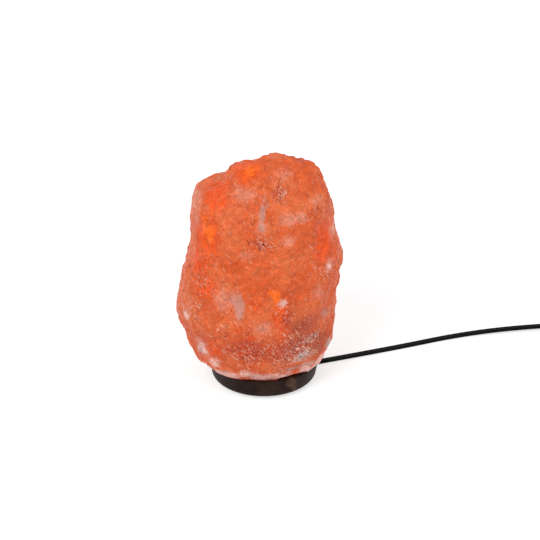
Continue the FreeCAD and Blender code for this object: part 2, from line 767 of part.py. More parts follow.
def make_lead():
    """Flat at the dimmer, turned on edge over its first stretch, then round the bend to the coil."""
    radii = cord_radii("cord_lead", LEAD_ROUTE)
    steps = 8
    sections = []
    for k in range(steps + 1):
        share = k / steps
        a = math.pi / 2 * (3 * share ** 2 - 2 * share ** 3)
        at = LEAD_ROUTE[0] + V(LEAD_TWIST_L * share, 0, 0)
        sections.append(cord_section(at, V(1, 0, 0), V(0, math.cos(a), math.sin(a))))
    twist = Part.makeLoft(sections, True, False)
    points = [LEAD_ROUTE[0] + V(LEAD_TWIST_L, 0, 0)] + LEAD_ROUTE[1:]
    path = rounded_wire(points, radii, False)
    rest = swept("cord_lead", path, UP)
    lead = twist.fuse(rest)
    print("cord_lead whole length", round(path.Length + LEAD_TWIST_L, 1), "volume over section times length",
          round(lead.Volume / (SECTION_AREA * (path.Length + LEAD_TWIST_L)), 4))
    return lead


def coil_edges():
    """Half turns to the right: in by half a pitch each below, one that climbs, and out again above."""
    edges = []
    at = COIL_START
    ahead = V(0, -1, 0)
    turns = [(COIL_OUTER_R - COIL_PITCH / 2 * k, 0.0) for k in range(COIL_HALF_TURNS_IN)]
    inner = COIL_OUTER_R - COIL_PITCH / 2 * COIL_HALF_TURNS_IN
    turns.append((inner, LAYER_STEP))
    turns += [(inner + COIL_PITCH / 2 * (k + 1), 0.0) for k in range(COIL_HALF_TURNS_OUT)]
    for radius, rise in turns:
        right = V(ahead.y, -ahead.x, 0)
        end = at + right * (2 * radius) + UP * rise
        centre = (at + end) * 0.5
        edges.append(Part.Arc(at, centre + ahead * ((end - at).Length / 2), end).toShape())
        at = end
        ahead = ahead * -1
    right = V(ahead.y, -ahead.x, 0)
    radius = inner + COIL_PITCH / 2 * (COIL_HALF_TURNS_OUT + 1)
    centre = at + right * radius
    end = centre + ahead * radius
    edges.append(Part.Arc(at, centre + unit(ahead - right) * radius, end).toShape())
    finish = end + right * COIL_END_RUN
    edges.append(Part.LineSegment(end, finish).toShape())
    return edges, finish


def coil_gap(edges):
    """The least gap between two turns, from points round the cord all along the coil."""
    rings = []
    up = UP
    travelled = 0.0
    for edge in edges:
        steps = 24
        for k in range(steps):
            t = edge.FirstParameter + (edge.LastParameter - edge.FirstParameter) * k / steps
            ahead = unit(edge.tangentAt(t))
            up = unit(up - ahead * up.dot(ahead))
            side = ahead.cross(up)
            at = edge.valueAt(t)
            points = []
            for reach in (-1, -0.5, 0, 0.5, 1):
                for out in (-1, 1):
                    points.append(at + up * (reach * (CORD_W - CORD_T) / 2) + side * (out * CORD_T / 2))
            for end in (-1, 1):
                for a in (-60, -30, 0, 30, 60):
                    b = math.radians(a)
                    rim = up * (end * math.cos(b)) + side * math.sin(b)
                    points.append(at + up * (end * (CORD_W - CORD_T) / 2) + rim * (CORD_T / 2))
            rings.append((at, travelled + edge.Length * k / steps, points))
        travelled += edge.Length
    least = 1e9
    for i, (at, along, points) in enumerate(rings):
        for other, further, others in rings[i + 1:]:
            if further - along < COIL_OUTER_R or at.distanceToPoint(other) > 2 * CORD_W:
                continue
            least = min(least, min(p.distanceToPoint(q) for p in points for q in others))
    return least


def make_coil():
    edges, _ = coil_edges()
    path = Part.Wire(edges)
    print("cord_coil turns", (COIL_HALF_TURNS_IN + COIL_HALF_TURNS_OUT + 1) / 2 + 0.25,
          "least gap to itself", round(coil_gap(edges), 3))
    return swept("cord_coil", path, UP)


def make_tie():
    """A flat tie round all the turns, on the side of the coil that faces away from its lead."""
    rise = math.asin(LAYER_STEP / (2 * COIL_OUTER_R))
    lean = 2 * rise * COIL_OUTER_R / (COIL_OUTER_R - COIL_PITCH / 2 * COIL_HALF_TURNS_IN)
    half_leaning = CORD_T / 2 + (CORD_W - CORD_T) / 2 * math.sin(lean)
    outer_x = -COIL_OUTER_R - CORD_T / 2
    inner_x = -(COIL_OUTER_R - COIL_PITCH / 2 * COIL_HALF_TURNS_IN) + half_leaning
    low = -CORD_W / 2
    high = LAYER_STEP + CORD_W / 2
    width = inner_x - outer_x
    height = high - low
    middle = COIL_CENTRE + V((inner_x + outer_x) / 2, 0, (low + high) / 2)

    def loop(gap, corner):
        w = width / 2 + gap
        h = height / 2 + gap
        points = [middle + V(-w, -TIE_W / 2, -h), middle + V(w, -TIE_W / 2, -h),
                  middle + V(w, -TIE_W / 2, h), middle + V(-w, -TIE_W / 2, h)]
        return Part.Face(rounded_wire(points, [corner] * 4)).extrude(V(0, TIE_W, 0))

    return loop(TOUCH_GAP + TIE_T, TIE_ROUND + TIE_T).cut(loop(TOUCH_GAP, TIE_ROUND))


# The dimmer, drawn along X with the tip of its inlet at the origin and the cord's axis at height 0

DIMMER_MIDDLE = DIMMER_TOTAL / 2
DIMMER_LOW = -DIMMER_AXIS_Z
DIMMER_HIGH = DIMMER_LOW + DIMMER_H
SHAFT_LOW = DIMMER_HIGH - DIAL_SUNK - DIMMER_WALL - 3.0


def at_dimmer(shape):
    return placed(shape, DIMMER_AT, HEADING)


def edges_at(shape, z):
    return [e for e in shape.Edges if abs(e.BoundBox.ZMin - z) < 1e-6 and abs(e.BoundBox.ZMax - z) < 1e-6]


def case_half(low, high, outer_z, inner_low, inner_high):
    """One shell of the case: a rounded block, hollow on the side of the seam."""
    shell = plate(DIMMER_L, DIMMER_W, DIMMER_CORNER_R, low, high)
    shell = shell.makeFillet(DIMMER_EDGE_ROUND, edges_at(shell, outer_z))
    inside = plate(DIMMER_L - 2 * DIMMER_WALL, DIMMER_W - 2 * DIMMER_WALL, DIMMER_CORNER_R - DIMMER_WALL,
                   inner_low, inner_high)
    return shell.cut(inside)


def flange_depth():
    """How far in from the end of the case a flange lies, clear of the round corners of the inside."""
    corner = DIMMER_CORNER_R - DIMMER_WALL
    past_flat = max(RELIEF_FLANGE_W / 2 + FIT_GAP - (DIMMER_W / 2 - DIMMER_CORNER_R), 0)
    return DIMMER_WALL + corner - math.sqrt(corner ** 2 - past_flat ** 2) + FIT_GAP


def relief_openings():
    cuts = []
    for side in (-1, 1):
        cuts.append(block(2 * flange_depth(), RELIEF_NECK_W + 2 * FIT_GAP, -RELIEF_NECK_H / 2 - FIT_GAP,
                          RELIEF_NECK_H / 2 + FIT_GAP, side * DIMMER_L / 2))
    return cuts


def make_lower_shell():
    floor = DIMMER_LOW + DIMMER_WALL
    shell = case_half(DIMMER_LOW, 0, DIMMER_LOW, floor, 1)
    for cut in relief_openings():
        shell = shell.cut(cut)
    for side in (-1, 1):
        x = side * (DIMMER_L / 2 - CASE_SCREW_IN)
        boss = cylinder(CASE_BOSS_R + 1.0, floor, 0, x)
        shell = shell.fuse(boss)
        shell = shell.cut(cylinder(CASE_SCREW_R + FIT_GAP, DIMMER_LOW - 1, 1, x))
        head = cylinder(CASE_SCREW_HEAD_R + FIT_GAP, DIMMER_LOW - 1, DIMMER_LOW + CASE_SCREW_HEAD_H, x)
        shell = shell.cut(head)
    shell = shell.removeSplitter()
    shell.translate(V(DIMMER_MIDDLE, 0, 0))
    return at_dimmer(shell)


def make_upper_shell():
    ceiling = DIMMER_HIGH - DIMMER_WALL - DIAL_SUNK
    shell = case_half(0, DIMMER_HIGH, DIMMER_HIGH, -1, ceiling)
    for cut in relief_openings():
        shell = shell.cut(cut)
    for side in (-1, 1):
        x = side * (DIMMER_L / 2 - CASE_SCREW_IN)
        top = DIMMER_LOW + CASE_SCREW_HEAD_H + CASE_SCREW_LENGTH + FIT_GAP
        shell = shell.fuse(cylinder(CASE_BOSS_R, 0, ceiling, x))
        shell = shell.cut(cylinder(CASE_SCREW_R + FIT_GAP, -1, top, x))
    shell = shell.cut(cylinder(DIAL_R + DIAL_WELL_GAP, DIMMER_HIGH - DIAL_SUNK, DIMMER_HIGH + 1))
    shell = shell.cut(cylinder(DIAL_SHAFT_R + RUN_GAP, ceiling - 1, DIMMER_HIGH))
    shell = shell.removeSplitter()
    shell.translate(V(DIMMER_MIDDLE, 0, 0))
    return at_dimmer(shell)


def make_dial():
    """A ribbed dial with a raised mark, and the shaft that it turns."""
    low = DIMMER_HIGH - DIAL_SUNK + FIT_GAP
    high = low + DIAL_H
    dial = turning([(0, low, 0), (DIAL_R, low, 0.3), (DIAL_R, high, 1.0), (0, high, 0)])
    for k in range(DIAL_RIBS):
        place = polar(DIAL_R + 0.2, 360.0 * (k + 0.5) / DIAL_RIBS)
        dial = dial.cut(cylinder(DIAL_RIB_R, low - 1, high + 1, place.x, place.y))
    mark = block(DIAL_MARK_L, DIAL_MARK_W, high - 0.6, high + 0.5, -(DIAL_R - 1.5 - DIAL_MARK_L / 2))
    shaft = cylinder(DIAL_SHAFT_R, SHAFT_LOW, low)
    dial = dial.fuse([mark, shaft]).removeSplitter()
    dial.translate(V(DIMMER_MIDDLE, 0, 0))
    return at_dimmer(dial)


def make_potentiometer():
    """A box under the ceiling of the case, whose bush holds the end of the shaft."""
    high = DIMMER_HIGH - DIMMER_WALL - DIAL_SUNK
    low = high - POT_H
    pot = plate(POT_SIDE, POT_SIDE, 1.5, low, high)
    pot = pot.cut(cylinder(DIAL_SHAFT_R + RUN_GAP, SHAFT_LOW - FIT_GAP, high + 1))
    pot.translate(V(DIMMER_MIDDLE, 0, 0))
    return at_dimmer(pot)


def make_board():
    """The circuit board under the potentiometer, with the power switch's heat tab and a capacitor on it."""
    top = DIMMER_HIGH - DIMMER_WALL - DIAL_SUNK - POT_H
    board = block(BOARD_L, BOARD_W, top - BOARD_T, top)
    tab = block(4.5, 9.0, top, top + 3.0, -POT_SIDE / 2 - 4.0)
    capacitor = block(5.0, 10.0, top, top + 3.6, POT_SIDE / 2 + 4.2)
    board = board.fuse([tab, capacitor]).removeSplitter()
    board.translate(V(DIMMER_MIDDLE, 0, 0))
    return at_dimmer(board)


def case_screw(side):
    x = side * (DIMMER_L / 2 - CASE_SCREW_IN)
    head = cylinder(CASE_SCREW_HEAD_R, DIMMER_LOW, DIMMER_LOW + CASE_SCREW_HEAD_H, x)
    shank = cylinder(CASE_SCREW_R, DIMMER_LOW, DIMMER_LOW + CASE_SCREW_HEAD_H + CASE_SCREW_LENGTH, x)
    screw = head.fuse(shank).removeSplitter()
    screw = screw.cut(block(3.0, 0.7, DIMMER_LOW - 1, DIMMER_LOW + 0.8, x))
    screw.translate(V(DIMMER_MIDDLE, 0, 0))
    return at_dimmer(screw)


def ribbed_taper(length, tip_w, tip_h, root_w, root_h):
    """A tapered strain relief along X from its tip, with grooves across it."""
    corner = min(tip_w, tip_h) * 0.4
    taper = Part.makeLoft([upright_rectangle(0, tip_w, tip_h, corner), upright_rectangle(length, root_w, root_h, corner)],
                          True, True)
    for k in range(RELIEF_RIBS):
        x = length * (0.22 + 0.17 * k)
        width = tip_w + (root_w - tip_w) * x / length
        height = tip_h + (root_h - tip_h) * x / length
        outer = Part.Face(upright_rectangle(x, width + 4, height + 4, corner)).extrude(V(RELIEF_RIB_W, 0, 0))
        inner = Part.Face(upright_rectangle(x, width - 2 * RELIEF_RIB_DEPTH, height - 2 * RELIEF_RIB_DEPTH, corner - 0.4))
        taper = taper.cut(outer.cut(inner.extrude(V(RELIEF_RIB_W, 0, 0))))
    return taper


def make_relief(outgoing):
    """The taper outside the case, a neck through its end wall and a flange inside."""
    taper = ribbed_taper(RELIEF_L, RELIEF_TIP_W, RELIEF_TIP_H, RELIEF_ROOT_W, RELIEF_ROOT_H)
    neck_end = RELIEF_L + flange_depth()
    neck = Part.makeBox(neck_end - RELIEF_L, RELIEF_NECK_W, RELIEF_NECK_H,
                        V(RELIEF_L, -RELIEF_NECK_W / 2, -RELIEF_NECK_H / 2))
    flange = Part.makeBox(RELIEF_FLANGE_T, RELIEF_FLANGE_W, RELIEF_NECK_H,
                          V(neck_end, -RELIEF_FLANGE_W / 2, -RELIEF_NECK_H / 2))
    relief = taper.fuse([neck, flange]).removeSplitter()
    if outgoing:
        relief.rotate(V(0, 0, 0), UP, 180)
        relief.translate(V(DIMMER_TOTAL, 0, 0))
    return at_dimmer(relief)


# The plug, drawn along X from the end of the cord

PLUG_AXIS_Z = DIMMER_AXIS_Z + LAYER_STEP
PLUG_H = 2 * PLUG_AXIS_Z


def at_plug(shape):
    _, end = coil_edges()
    return at_dimmer(placed(shape, end, 180))


def make_plug_relief():
    return at_plug(ribbed_taper(PLUG_RELIEF_L, PLUG_RELIEF_TIP_W, PLUG_RELIEF_TIP_H, PLUG_RELIEF_ROOT_W, PLUG_RELIEF_ROOT_H))


def blade_pocket(side, gap):
    return block(BLADE_SUNK + BLADE_LENGTH + gap, BLADE_W + 2 * gap, side * BLADE_SPACING / 2 - BLADE_T / 2 - gap,
                 side * BLADE_SPACING / 2 + BLADE_T / 2 + gap,
                 PLUG_RELIEF_L + PLUG_L - BLADE_SUNK + (BLADE_SUNK + BLADE_LENGTH - gap) / 2)


def make_plug_body():
    """A block that widens to its face, with hollow sides for the fingers and pockets for the blades."""
    back = upright_rectangle(PLUG_RELIEF_L, PLUG_BACK_W, PLUG_H - 3.0, PLUG_ROUND)
    middle = upright_rectangle(PLUG_RELIEF_L + 6.0, PLUG_FRONT_W, PLUG_H, PLUG_ROUND)
    front = upright_rectangle(PLUG_RELIEF_L + PLUG_L, PLUG_FRONT_W, PLUG_H, PLUG_ROUND)
    body = Part.makeLoft([back, middle], True, True).fuse(Part.makeLoft([middle, front], True, True))
    body = body.removeSplitter()
    for side in (-1, 1):
        y = side * (PLUG_FRONT_W / 2 + PLUG_GRIP_R - PLUG_GRIP_DEPTH)
        body = body.cut(cylinder(PLUG_GRIP_R, -PLUG_H, PLUG_H, PLUG_RELIEF_L + PLUG_L * 0.56, y))
        body = body.cut(blade_pocket(side, FIT_GAP))
    return at_plug(body)


def blade(side):
    shape = blade_pocket(side, 0.0)
    tip = PLUG_RELIEF_L + PLUG_L + BLADE_LENGTH
    hole = cylinder(BLADE_HOLE_R, -PLUG_H, PLUG_H, tip - 4.0)
    return at_plug(shape.cut(hole))


os.makedirs("parts", exist_ok=True)
save("salt_crystal", make_crystal())
save("wooden_base", make_base())
save("felt_ring", make_felt())
save("base_screws", Part.makeCompound([wood_screw(place) for place in screw_places()]))
save("screw_anchors", Part.makeCompound([anchor(place) for place in screw_places()]))

save("socket_cap", make_cap())
save("socket_housing", make_housing())
save("socket_shell", make_socket_shell())
save("socket_contact", make_socket_contact())
save("socket_terminals", Part.makeCompound([terminal(side) for side in (-1, 1)]))
save("socket_screws", Part.makeCompound([holder_screw(place) for place in holder_screw_places()]))
save("spring_bracket", make_bracket())

save("bulb_glass", make_glass())
save("bulb_shell", make_bulb_shell())
save("bulb_insulator", make_insulator())
save("bulb_foot", make_bulb_foot())
save("bulb_stem", make_stem())
save("bulb_leads", make_leads())
save("bulb_filament", make_filament())

save("cord_inner", make_inner_cord())
save("core_wires", Part.makeCompound([core_wire(side) for side in (-1, 1)]))
save("cord_to_dimmer", make_free_cord())
save("dimmer_lower_shell", make_lower_shell())
save("dimmer_upper_shell", make_upper_shell())
save("dimmer_dial", make_dial())
save("dimmer_potentiometer", make_potentiometer())
save("dimmer_board", make_board())
save("dimmer_screws", Part.makeCompound([case_screw(side) for side in (-1, 1)]))
save("dimmer_relief_in", make_relief(False))
save("dimmer_relief_out", make_relief(True))
save("cord_lead", at_dimmer(make_lead()))
save("cord_coil", at_dimmer(make_coil()))
save("cord_tie", at_dimmer(make_tie()))
save("plug_relief", make_plug_relief())
save("plug_body", make_plug_body())
save("plug_blades", Part.makeCompound([blade(side) for side in (-1, 1)]))
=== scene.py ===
import itertools
import math

import bpy
import numpy as np
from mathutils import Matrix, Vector


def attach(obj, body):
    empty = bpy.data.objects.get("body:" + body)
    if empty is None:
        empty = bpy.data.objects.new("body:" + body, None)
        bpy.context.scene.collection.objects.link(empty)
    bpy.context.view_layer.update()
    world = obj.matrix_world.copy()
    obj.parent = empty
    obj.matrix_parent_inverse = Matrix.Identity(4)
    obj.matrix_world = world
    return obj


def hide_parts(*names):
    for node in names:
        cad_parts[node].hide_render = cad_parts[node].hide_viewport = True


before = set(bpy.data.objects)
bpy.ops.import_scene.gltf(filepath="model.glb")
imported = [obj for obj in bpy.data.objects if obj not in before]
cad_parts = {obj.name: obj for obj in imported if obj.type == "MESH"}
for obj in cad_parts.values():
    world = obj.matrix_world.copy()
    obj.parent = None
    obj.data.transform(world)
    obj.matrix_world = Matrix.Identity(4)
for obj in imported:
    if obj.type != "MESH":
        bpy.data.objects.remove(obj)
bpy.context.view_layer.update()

# Salt crystal lamp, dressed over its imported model. Metres, +Z up, and the front of the lamp faces -Y.

scene = bpy.context.scene
MM = 0.001


# Camera, 27 degrees above the table and 1.5 m away

ELEVATION = math.radians(27.0)
DISTANCE = 1.5
LENS = 111.1             # millimetres, over a sensor of 36
LOOKED_AT = Vector((0.0054, 0.0421, 0.0826))

sight = Vector((0.0, math.cos(ELEVATION), -math.sin(ELEVATION)))
camera_data = bpy.data.cameras.new("camera")
camera_data.sensor_width = 36.0
camera_data.lens = LENS
camera = bpy.data.objects.new("camera", camera_data)
camera.location = LOOKED_AT - sight * DISTANCE
camera.rotation_euler = sight.to_track_quat("-Z", "Y").to_euler()
scene.collection.objects.link(camera)
scene.camera = camera


# Meshes from grids of points

def skin(name, rows, wrap=None):
    """A closed surface over rings of points, rows by columns by 3, that go anticlockwise about the way from the
    first ring to the last. The middle point of each end ring closes that end. wrap holds the two lengths, round
    and along, that the UV map gives the columns and the rows."""
    count, around = rows.shape[:2]
    row, column = np.meshgrid(np.arange(count - 1), np.arange(around), indexing="ij")
    after = (column + 1) % around
    corners = (row * around + column, row * around + after, (row + 1) * around + after, (row + 1) * around + column)
    quads = np.stack(corners, -1).reshape(-1, 4)
    here = np.arange(around)
    there = (here + 1) % around
    top = (count - 1) * around
    low = np.stack([np.full(around, count * around), there, here], -1)
    high = np.stack([top + here, top + there, np.full(around, count * around + 1)], -1)
    ends = np.stack([rows[0].mean(0), rows[-1].mean(0)])
    mesh = bpy.data.meshes.new(name)
    mesh.from_pydata(np.concatenate([rows.reshape(-1, 3), ends]).tolist(), [],
                     quads.tolist() + low.tolist() + high.tolist())
    mesh.shade_smooth()
    if wrap is not None:
        round_way, along = wrap
        u = np.stack([round_way[column], round_way[column + 1], round_way[column + 1], round_way[column]], -1)
        v = np.stack([along[row], along[row], along[row + 1], along[row + 1]], -1)
        fans = []
        for edge, order in ((along[0], (0.5, 1, 0)), (along[-1], (0, 1, 0.5))):
            fan_u = np.stack([round_way[here] + (round_way[here + 1] - round_way[here]) * k for k in order], -1)
            fans.append(np.stack([fan_u, np.full(fan_u.shape, edge)], -1).reshape(-1, 2))
        flat = np.concatenate([np.stack([u, v], -1).reshape(-1, 2)] + fans)
        mesh.uv_layers.new(name="wrap").data.foreach_set("uv", flat.astype(np.float32).ravel())
    return mesh


def piece(name, mesh, body, finish, nodes):
    """The mesh as a piece of the lamp that rides on a body and stands for CAD nodes."""
    made = bpy.data.objects.new(name, mesh)
    scene.collection.objects.link(made)
    mesh.materials.append(finish)
    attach(made, body)
    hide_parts(*nodes)
    return made


def unit(vectors):
    """Each vector over its length."""
    return vectors / np.linalg.norm(vectors, axis=-1, keepdims=True)


def smoothstep(share):
    """3t^2 - 2t^3, with t held between 0 and 1."""
    share = np.clip(share, 0.0, 1.0)
    return share * share * (3.0 - 2.0 * share)


# Random patterns in space, as whole arrays

def lattice(cells, seed):
    """A number from 0 to 1 for each whole-number cell: its coordinates times three primes, stirred by shifts."""
    stirred = (cells.astype(np.int64) * np.array([374761393, 668265263, 1103515245])).sum(-1) + seed * 69069
    stirred = stirred & 0xFFFFFFFF
    stirred = ((stirred ^ (stirred >> 13)) * 1274126177) & 0xFFFFFFFF
    stirred = ((stirred ^ (stirred >> 16)) * 2246822519) & 0xFFFFFFFF
    return (stirred ^ (stirred >> 15)) / 4294967296.0


def noise(points, size, seed):
    """Value noise from -1 to 1: random numbers at the corners of cubes of that size, blended by 3t^2 - 2t^3."""
    scaled = points / size
    cell = np.floor(scaled)
    share = smoothstep(scaled - cell)
    total = np.zeros(points.shape[:-1])
    for corner in itertools.product((0, 1), repeat=3):
        weight = np.prod(np.where(np.array(corner) == 1, share, 1.0 - share), axis=-1)
        total += weight * lattice(cell + np.array(corner), seed)
    return 2.0 * total - 1.0


def cleavage(points, size, seed):
    """Facets as salt breaks: each point takes the nearest of one random centre per cube, and stands out by that
    facet's own height plus its slope times the offset from its centre."""
    cell = np.floor(points / size)
    nearest = np.full(points.shape[:-1], 1e9)
    stands = np.zeros(points.shape[:-1])
    for corner in itertools.product((-1, 0, 1), repeat=3):
        near = cell + np.array(corner)
        jitter = np.stack([lattice(near, seed + k) for k in range(3)], -1)
        offset = points - (near + jitter) * size
        away = np.linalg.norm(offset, axis=-1)
        tilt = np.stack([lattice(near, seed + 3 + k) - 0.5 for k in range(3)], -1)
        height = lattice(near, seed + 6) - 0.5 + (offset * tilt).sum(-1) / size
        closer = away < nearest
        stands = np.where(closer, height, stands)
        nearest = np.where(closer, away, nearest)
    return stands


# Cords. The route's points are those of the part's source.

CORD_W = 6.0 * MM
CORD_T = 3.2 * MM
CORD_GROOVE = 0.42 * MM
CORD_AZIMUTH = math.radians(19.5)
DIMMER_AT = np.array([281.3, 82.7, 3.9]) * MM
DIMMER_HEADING = math.atan2(82.7 - 78.5, 281.3 - 241.5)
UP = np.array([0.0, 0.0, 1.0])


def smooth_line(route, name):
    """The cord's line: a NURBS curve of order 3 through its first and last points, read back as points."""
    curve = bpy.data.curves.new(name, "CURVE")
    curve.dimensions = "3D"
    curve.resolution_u = 8
    spline = curve.splines.new("NURBS")
    spline.points.add(len(route) - 1)
    spline.points.foreach_set("co", np.column_stack([route, np.ones(len(route))]).ravel())
    spline.order_u = 3
    spline.use_endpoint_u = True
    holder = bpy.data.objects.new(name, curve)
    read = bpy.data.meshes.new_from_object(holder)
    line = np.zeros(len(read.vertices) * 3, np.float32)
    read.vertices.foreach_get("co", line)
    bpy.data.objects.remove(holder)
    bpy.data.curves.remove(curve)
    bpy.data.meshes.remove(read)
    return line.reshape(-1, 3).astype(float)


def travelled(line):
    """How far each point of a line is from its start, along it."""
    return np.concatenate([[0.0], np.cumsum(np.linalg.norm(np.diff(line, axis=0), axis=1))])


def twin_outline():
    """The section of the flat flex, as (along its width, across it): half circles at the ends, and between them a
    groove that dips by half its depth times 1 + cos(pi y / reach)."""
    reach = (CORD_W - CORD_T) / 2
    lobe = np.radians(np.linspace(-90, 90, 9))
    bridge = np.linspace(reach, -reach, 9)[1:-1]
    height = CORD_T / 2 - CORD_GROOVE * (1 + np.cos(np.pi * bridge / reach)) / 2
    right = np.column_stack([reach + np.cos(lobe) * CORD_T / 2, np.sin(lobe) * CORD_T / 2])
    over = np.column_stack([bridge, height])
    return np.concatenate([right, over, -right, -over])


def twin_flex(name, line, across):
    """The flex's outline carried along a line, its width along across, made square to the line at each point."""
    ahead = unit(np.gradient(line, axis=0))
    across = np.broadcast_to(across, line.shape)
    width = unit(across - ahead * (across * ahead).sum(-1, keepdims=True))
    thick = np.cross(ahead, width)
    outline = twin_outline()
    rows = line[:, None] + width[:, None] * outline[None, :, :1] + thick[:, None] * outline[None, :, 1:]
    return skin(name, rows)


def from_dimmer(points):
    """Points along the dimmer's axis, from the tip of its inlet, in the lamp's frame."""
    points = np.asarray(points, float)
    c, s = math.cos(DIMMER_HEADING), math.sin(DIMMER_HEADING)
    turned = np.stack([points[..., 0] * c - points[..., 1] * s, points[..., 0] * s + points[..., 1] * c,
                       points[..., 2]], -1)
    return turned * MM + DIMMER_AT


RUN_ROUTE = np.array([
    (46.19, 16.36, 1.6),
    (117.83, 41.73, 1.6),
    (182.4, 68.1, 1.6),
    (241.5, 78.5, 3.9),
    (281.3, 82.7, 3.9),
]) * MM
LEAD_ROUTE = [(100.0, 0.0, 0.0), (155.0, 0.0, 0.0), (190.4, -42.1, 0.0), (190.4, -92.1, 0.0)]
LEAD_TWIST = 30.0 * MM
COIL_R = 38.0
COIL_PITCH = 3.85
COIL_RISE = 6.65
COIL_HALF_TURNS = 6      # on the way in
COIL_STEPS = 8           # points in each half turn
COIL_END_RUN = 20.0


def coil_route():
    """Half turns to the right, each half a pitch closer in, one that climbs, then out again above, a quarter turn
    and a short run. The control points stand out so that the smooth line has the true radius."""
    stand_out = 8.0 / (6.0 + 2.0 * math.cos(math.pi / COIL_STEPS))
    inner = COIL_R - COIL_PITCH / 2 * COIL_HALF_TURNS
    turns = [(COIL_R - COIL_PITCH / 2 * k, 0.0) for k in range(COIL_HALF_TURNS)] + [(inner, COIL_RISE)]
    turns += [(inner + COIL_PITCH / 2 * (k + 1), 0.0) for k in range(COIL_HALF_TURNS)]
    at = np.array(LEAD_ROUTE[-1])
    ahead = np.array([0.0, -1.0, 0.0])
    points = []
    for i, (radius, rise) in enumerate(turns):
        right = np.array([ahead[1], -ahead[0], 0.0])
        steps = COIL_STEPS if i < len(turns) - 1 else COIL_STEPS // 2
        swing = np.pi * (np.arange(steps) + 0.5)[:, None] / COIL_STEPS
        middle = at + right * radius
        climb = UP * rise * (1 - np.cos(swing)) / 2
        points.append(middle + (ahead * np.sin(swing) - right * np.cos(swing)) * radius * stand_out + climb)
        if steps == COIL_STEPS:
            at = at + right * 2 * radius + UP * rise
            ahead = -ahead
    finish = middle + ahead * radius
    points.append(np.stack([finish + right * 4.0, finish + right * COIL_END_RUN]))
    return np.concatenate(points)


run_line = smooth_line(RUN_ROUTE, "run_line")
lead_line = smooth_line(from_dimmer(np.concatenate([LEAD_ROUTE, coil_route()])), "lead_line")
inner_line = smooth_line(np.array([
    (0.0, 0.0, 29.5),
    (0.0, 0.0, 16.0),
    (2.36, 0.83, 1.6),
    (20.7, 7.33, 1.6),
    (46.19, 16.36, 1.6),
]) * MM, "inner_line")


# Materials

def linear(colour):
    """An sRGB hex colour as linear RGBA: s / 12.92 up to 0.04045, and ((s + 0.055) / 1.055) ^ 2.4 above it."""
    shares = [int(colour[i:i + 2], 16) / 255 for i in (1, 3, 5)]
    return [s / 12.92 if s <= 0.04045 else ((s + 0.055) / 1.055) ** 2.4 for s in shares] + [1.0]


def add(tree, kind, inputs=None, **settings):
    """Adds one node with its settings. Each input is a value, or the output that is linked to it."""
    made = tree.nodes.new("ShaderNode" + kind)
    for name, value in settings.items():
        setattr(made, name, value)
    for key, value in (inputs or {}).items():
        if isinstance(value, bpy.types.NodeSocket):
            tree.links.new(value, made.inputs[key])
        else:
            made.inputs[key].default_value = value
    return made


def blank(name):
    """A material without nodes, and its node tree."""
    made = bpy.data.materials.new(name)
    made.use_nodes = True
    made.node_tree.nodes.clear()
    return made, made.node_tree


def finish_with(tree, inputs):
    """The tree's surface: one principled shader with these inputs."""
    surface = add(tree, "BsdfPrincipled", inputs)
    add(tree, "OutputMaterial", {"Surface": surface.outputs[0]})


def seen_directly(tree):
    """1 for rays from the camera, from gloss and through glass, and 0 for all others."""
    path = add(tree, "LightPath").outputs
    seen = add(tree, "Math", {0: path["Is Camera Ray"], 1: path["Is Glossy Ray"]}, operation="MAXIMUM").outputs[0]
    return add(tree, "Math", {0: seen, 1: path["Is Transmission Ray"]}, operation="MAXIMUM").outputs[0]


